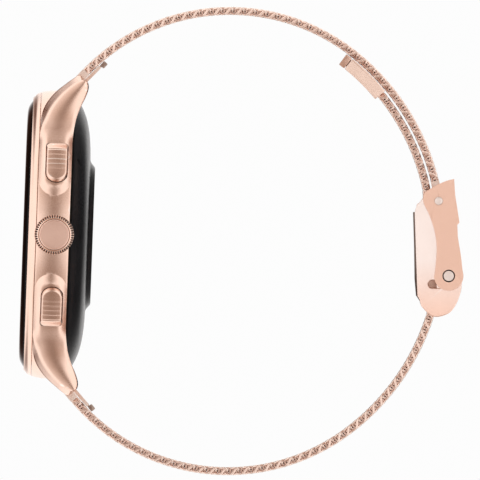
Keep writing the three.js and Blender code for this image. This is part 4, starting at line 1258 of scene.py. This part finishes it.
def add_base():
    outline = base_outline()
    base = plate("base", outline, BASE_INNER_X, BASE_OUTER_X)
    base = join(base, plate("wall", outline, -BASE_OUTER_X, -BASE_INNER_X))
    slot = (arc(STRAP_PIN[0] + 0.45, SLOT_Z, SLOT_RADIUS, -90, 90, 12)
            + arc(STRAP_PIN[0] - 0.63, SLOT_Z, SLOT_RADIUS, 90, 270, 12))
    for x0, x1 in ((BASE_OUTER_X - 0.45, THROUGH), (-THROUGH, -BASE_OUTER_X + 0.45)):
        base = cut(base, plate("slot", slot, x0, x1))
    bevelled(base, 0.14, 3, 40)
    near = STRAP_THICKNESS / 2 + 0.12
    far = near + 0.65
    panel = [(clamped_y(-8.2) + near, -8.2), (clamped_y(-8.2) + far, -8.2), (clamped_y(4.4) + far, 4.4),
             (clamped_y(4.4) + near, 4.4)]
    base = join(base, plate("panel", panel, -BASE_OUTER_X + 0.1, BASE_OUTER_X - 0.1))
    bar = fillet(from_pin([(0.95, -7.9), (1.1, -10.3), (1.5, -10.5), (2.5, -9.9), (3.3, -8.6), (3.4, -7.6),
                           (2.4, -7.2)]), 0.2, 3)
    base = join(base, plate("bar", bar, -BASE_OUTER_X + 0.1, BASE_OUTER_X - 0.1))
    base = join(base, rod("top_bar", 0.42, -BASE_INNER_X - 0.2, BASE_INNER_X + 0.2, STRAP_PIN[0] - 3.12, 6.75,
                             0.05, 32))
    base = cut(base, rod("eye", 0.88, -THROUGH, THROUGH, *LEVER_PIN, 0, 40))
    pin_reach = BASE_OUTER_X - 0.3
    base = cut(base, rod("eye", 0.45, -pin_reach - 0.05, pin_reach + 0.05, *FLAP_PIN, 0, 32))
    base.name = "clasp_frame"
    finish_piece(base, "clasp", pale_gold, ["clasp_base"], angle=30)

    def in_slot(face):
        x, y, z = centre_mm(face)
        return abs(x) < BASE_OUTER_X - 0.1 and abs(y - STRAP_PIN[0]) < 1.3 and abs(z - SLOT_Z) < 0.65

    # painted shade: the frame's side faces take the lever's deeper tone as a dark outline
    darken(base, lambda face: abs(face.normal.x) < 0.5, lever_gold)
    # painted shade: the slot's inner faces take a darker tone, as if shaded
    darken(base, in_slot, painted_slot_shade)
    flange = CHEEK_INNER_X + 0.35
    half_axle = [(0.8, BASE_OUTER_X + 0.03), (1.0, BASE_OUTER_X + 0.03), (1.0, flange), (0.83, flange),
                 (0.83, CHEEK_OUTER_X - 0.1), (0.79, CHEEK_OUTER_X - 0.03), (0.7, CHEEK_OUTER_X),
                 (0.5, CHEEK_OUTER_X - 0.02), (0, CHEEK_OUTER_X - 0.04)]
    axle = [(r, -x) for r, x in reversed(half_axle)] + half_axle
    pin = along_x(lathe("lever_axle", axle, 48, closed=False), *LEVER_PIN)
    finish_piece(pin, "clasp", pin_gold, ["lever_pin"], angle=30)

    def in_ring(face):
        x, y, z = centre_mm(face)
        return abs(x) < CHEEK_OUTER_X - 0.2 and math.hypot(y - LEVER_PIN[0], z - LEVER_PIN[1]) > 0.8

    # painted shade: the axle's barrel inside the cheeks takes a dark tone, the shade in the gap round the pin
    darken(pin, in_ring, painted_groove_shade)
    flap_pin = rod("flap_axle", 0.4, -pin_reach, pin_reach, *FLAP_PIN, 0.05, 32)
    finish_piece(flap_pin, "clasp", steel, ["lock_flap_pin"], angle=30)


def add_flap():
    t = 0.6
    half = BASE_INNER_X - 0.15
    outer = from_pin([(-3.1, -7.6), (-3.42, -5), (-3.68, 0), (-4.05, 5.7)])
    inner = from_pin([(-4.05 + t, 5.7), (-3.68 + t, 0), (-3.42 + t, -5), (-2.3, -7.9)])
    flap = plate("flap", outer + inner, -half, half)
    hook = from_pin([(-3.1, -7.6), (-2.2, -7.6), (-1.9, -8.3), (-2.3, -8.7)])
    flap = join(flap, plate("hook", hook, -half, half))
    flap = join(flap, rod("knuckle", 0.6, -half, half, *FLAP_PIN, 0.05, 40))
    rib_z = 4.8
    end = clamped_y(rib_z) - STRAP_THICKNESS / 2 - 0.08
    rib = [(STRAP_PIN[0] - 3.7, rib_z - 0.45), (end, rib_z - 0.3), (end, rib_z + 0.3),
           (STRAP_PIN[0] - 3.7, rib_z + 0.45)]
    flap = join(flap, plate("rib", rib, -half + 1, half - 1))
    flap = cut(flap, rod("eye", 0.46, -THROUGH, THROUGH, *FLAP_PIN, 0, 32))
    flap.name = "flap_plate"
    bevelled(flap, 0.06, 2, 40)
    # painted shade: the flap takes a dark tone for the shade it sits in on the wrist side
    finish_piece(flap, "lock_flap", dark_steel, ["lock_flap"], angle=30)


def add_loop():
    """Sleeve at the 12 o'clock strap's end, with the slotted eye for the strap pin."""
    pin_s = strap_distance(STRAP_PIN[1])
    tilt = strap_at(pin_s)[2]
    width = STRAP_HALF_WIDTH
    half = STRAP_THICKNESS / 2

    def shift(d, n=0.0):
        return (STRAP_PIN[0] + d * math.cos(tilt) - n * math.sin(tilt),
                STRAP_PIN[1] + d * math.sin(tilt) + n * math.cos(tilt))

    def eye(radius):
        turn = math.degrees(tilt)
        return arc(*shift(1.05), radius, turn - 90, turn + 90, 12) + arc(*shift(-0.6), radius, turn + 90,
                                                                         turn + 270, 12)

    loop = plate("loop", eye(0.98), -width, width)
    end = pin_s - 3.25
    neck = [beside(end, -half), shift(-0.6, -half), shift(-0.6, half), beside(end, half)]
    loop = join(loop, plate("neck", neck, -width, width))
    loop = cut(loop, plate("hole", eye(0.7), -THROUGH, THROUGH))
    loop.name = "strap_eye"
    bevelled(loop, 0.08, 2, 40)
    finish_piece(loop, "strap_12_tip", button_gold, ["strap_12_loop"], angle=30)


add_camera()
add_light()
add_floor()
dress_cad_nodes()
add_case()
add_bezel()
add_glass()
add_back()
add_crown()
add_buttons()
add_strap_ends()
add_woven_strap()
add_tail_cap()
add_lever()
add_base()
add_flap()
add_loop()

bpy.context.scene.view_settings.view_transform = "Standard"
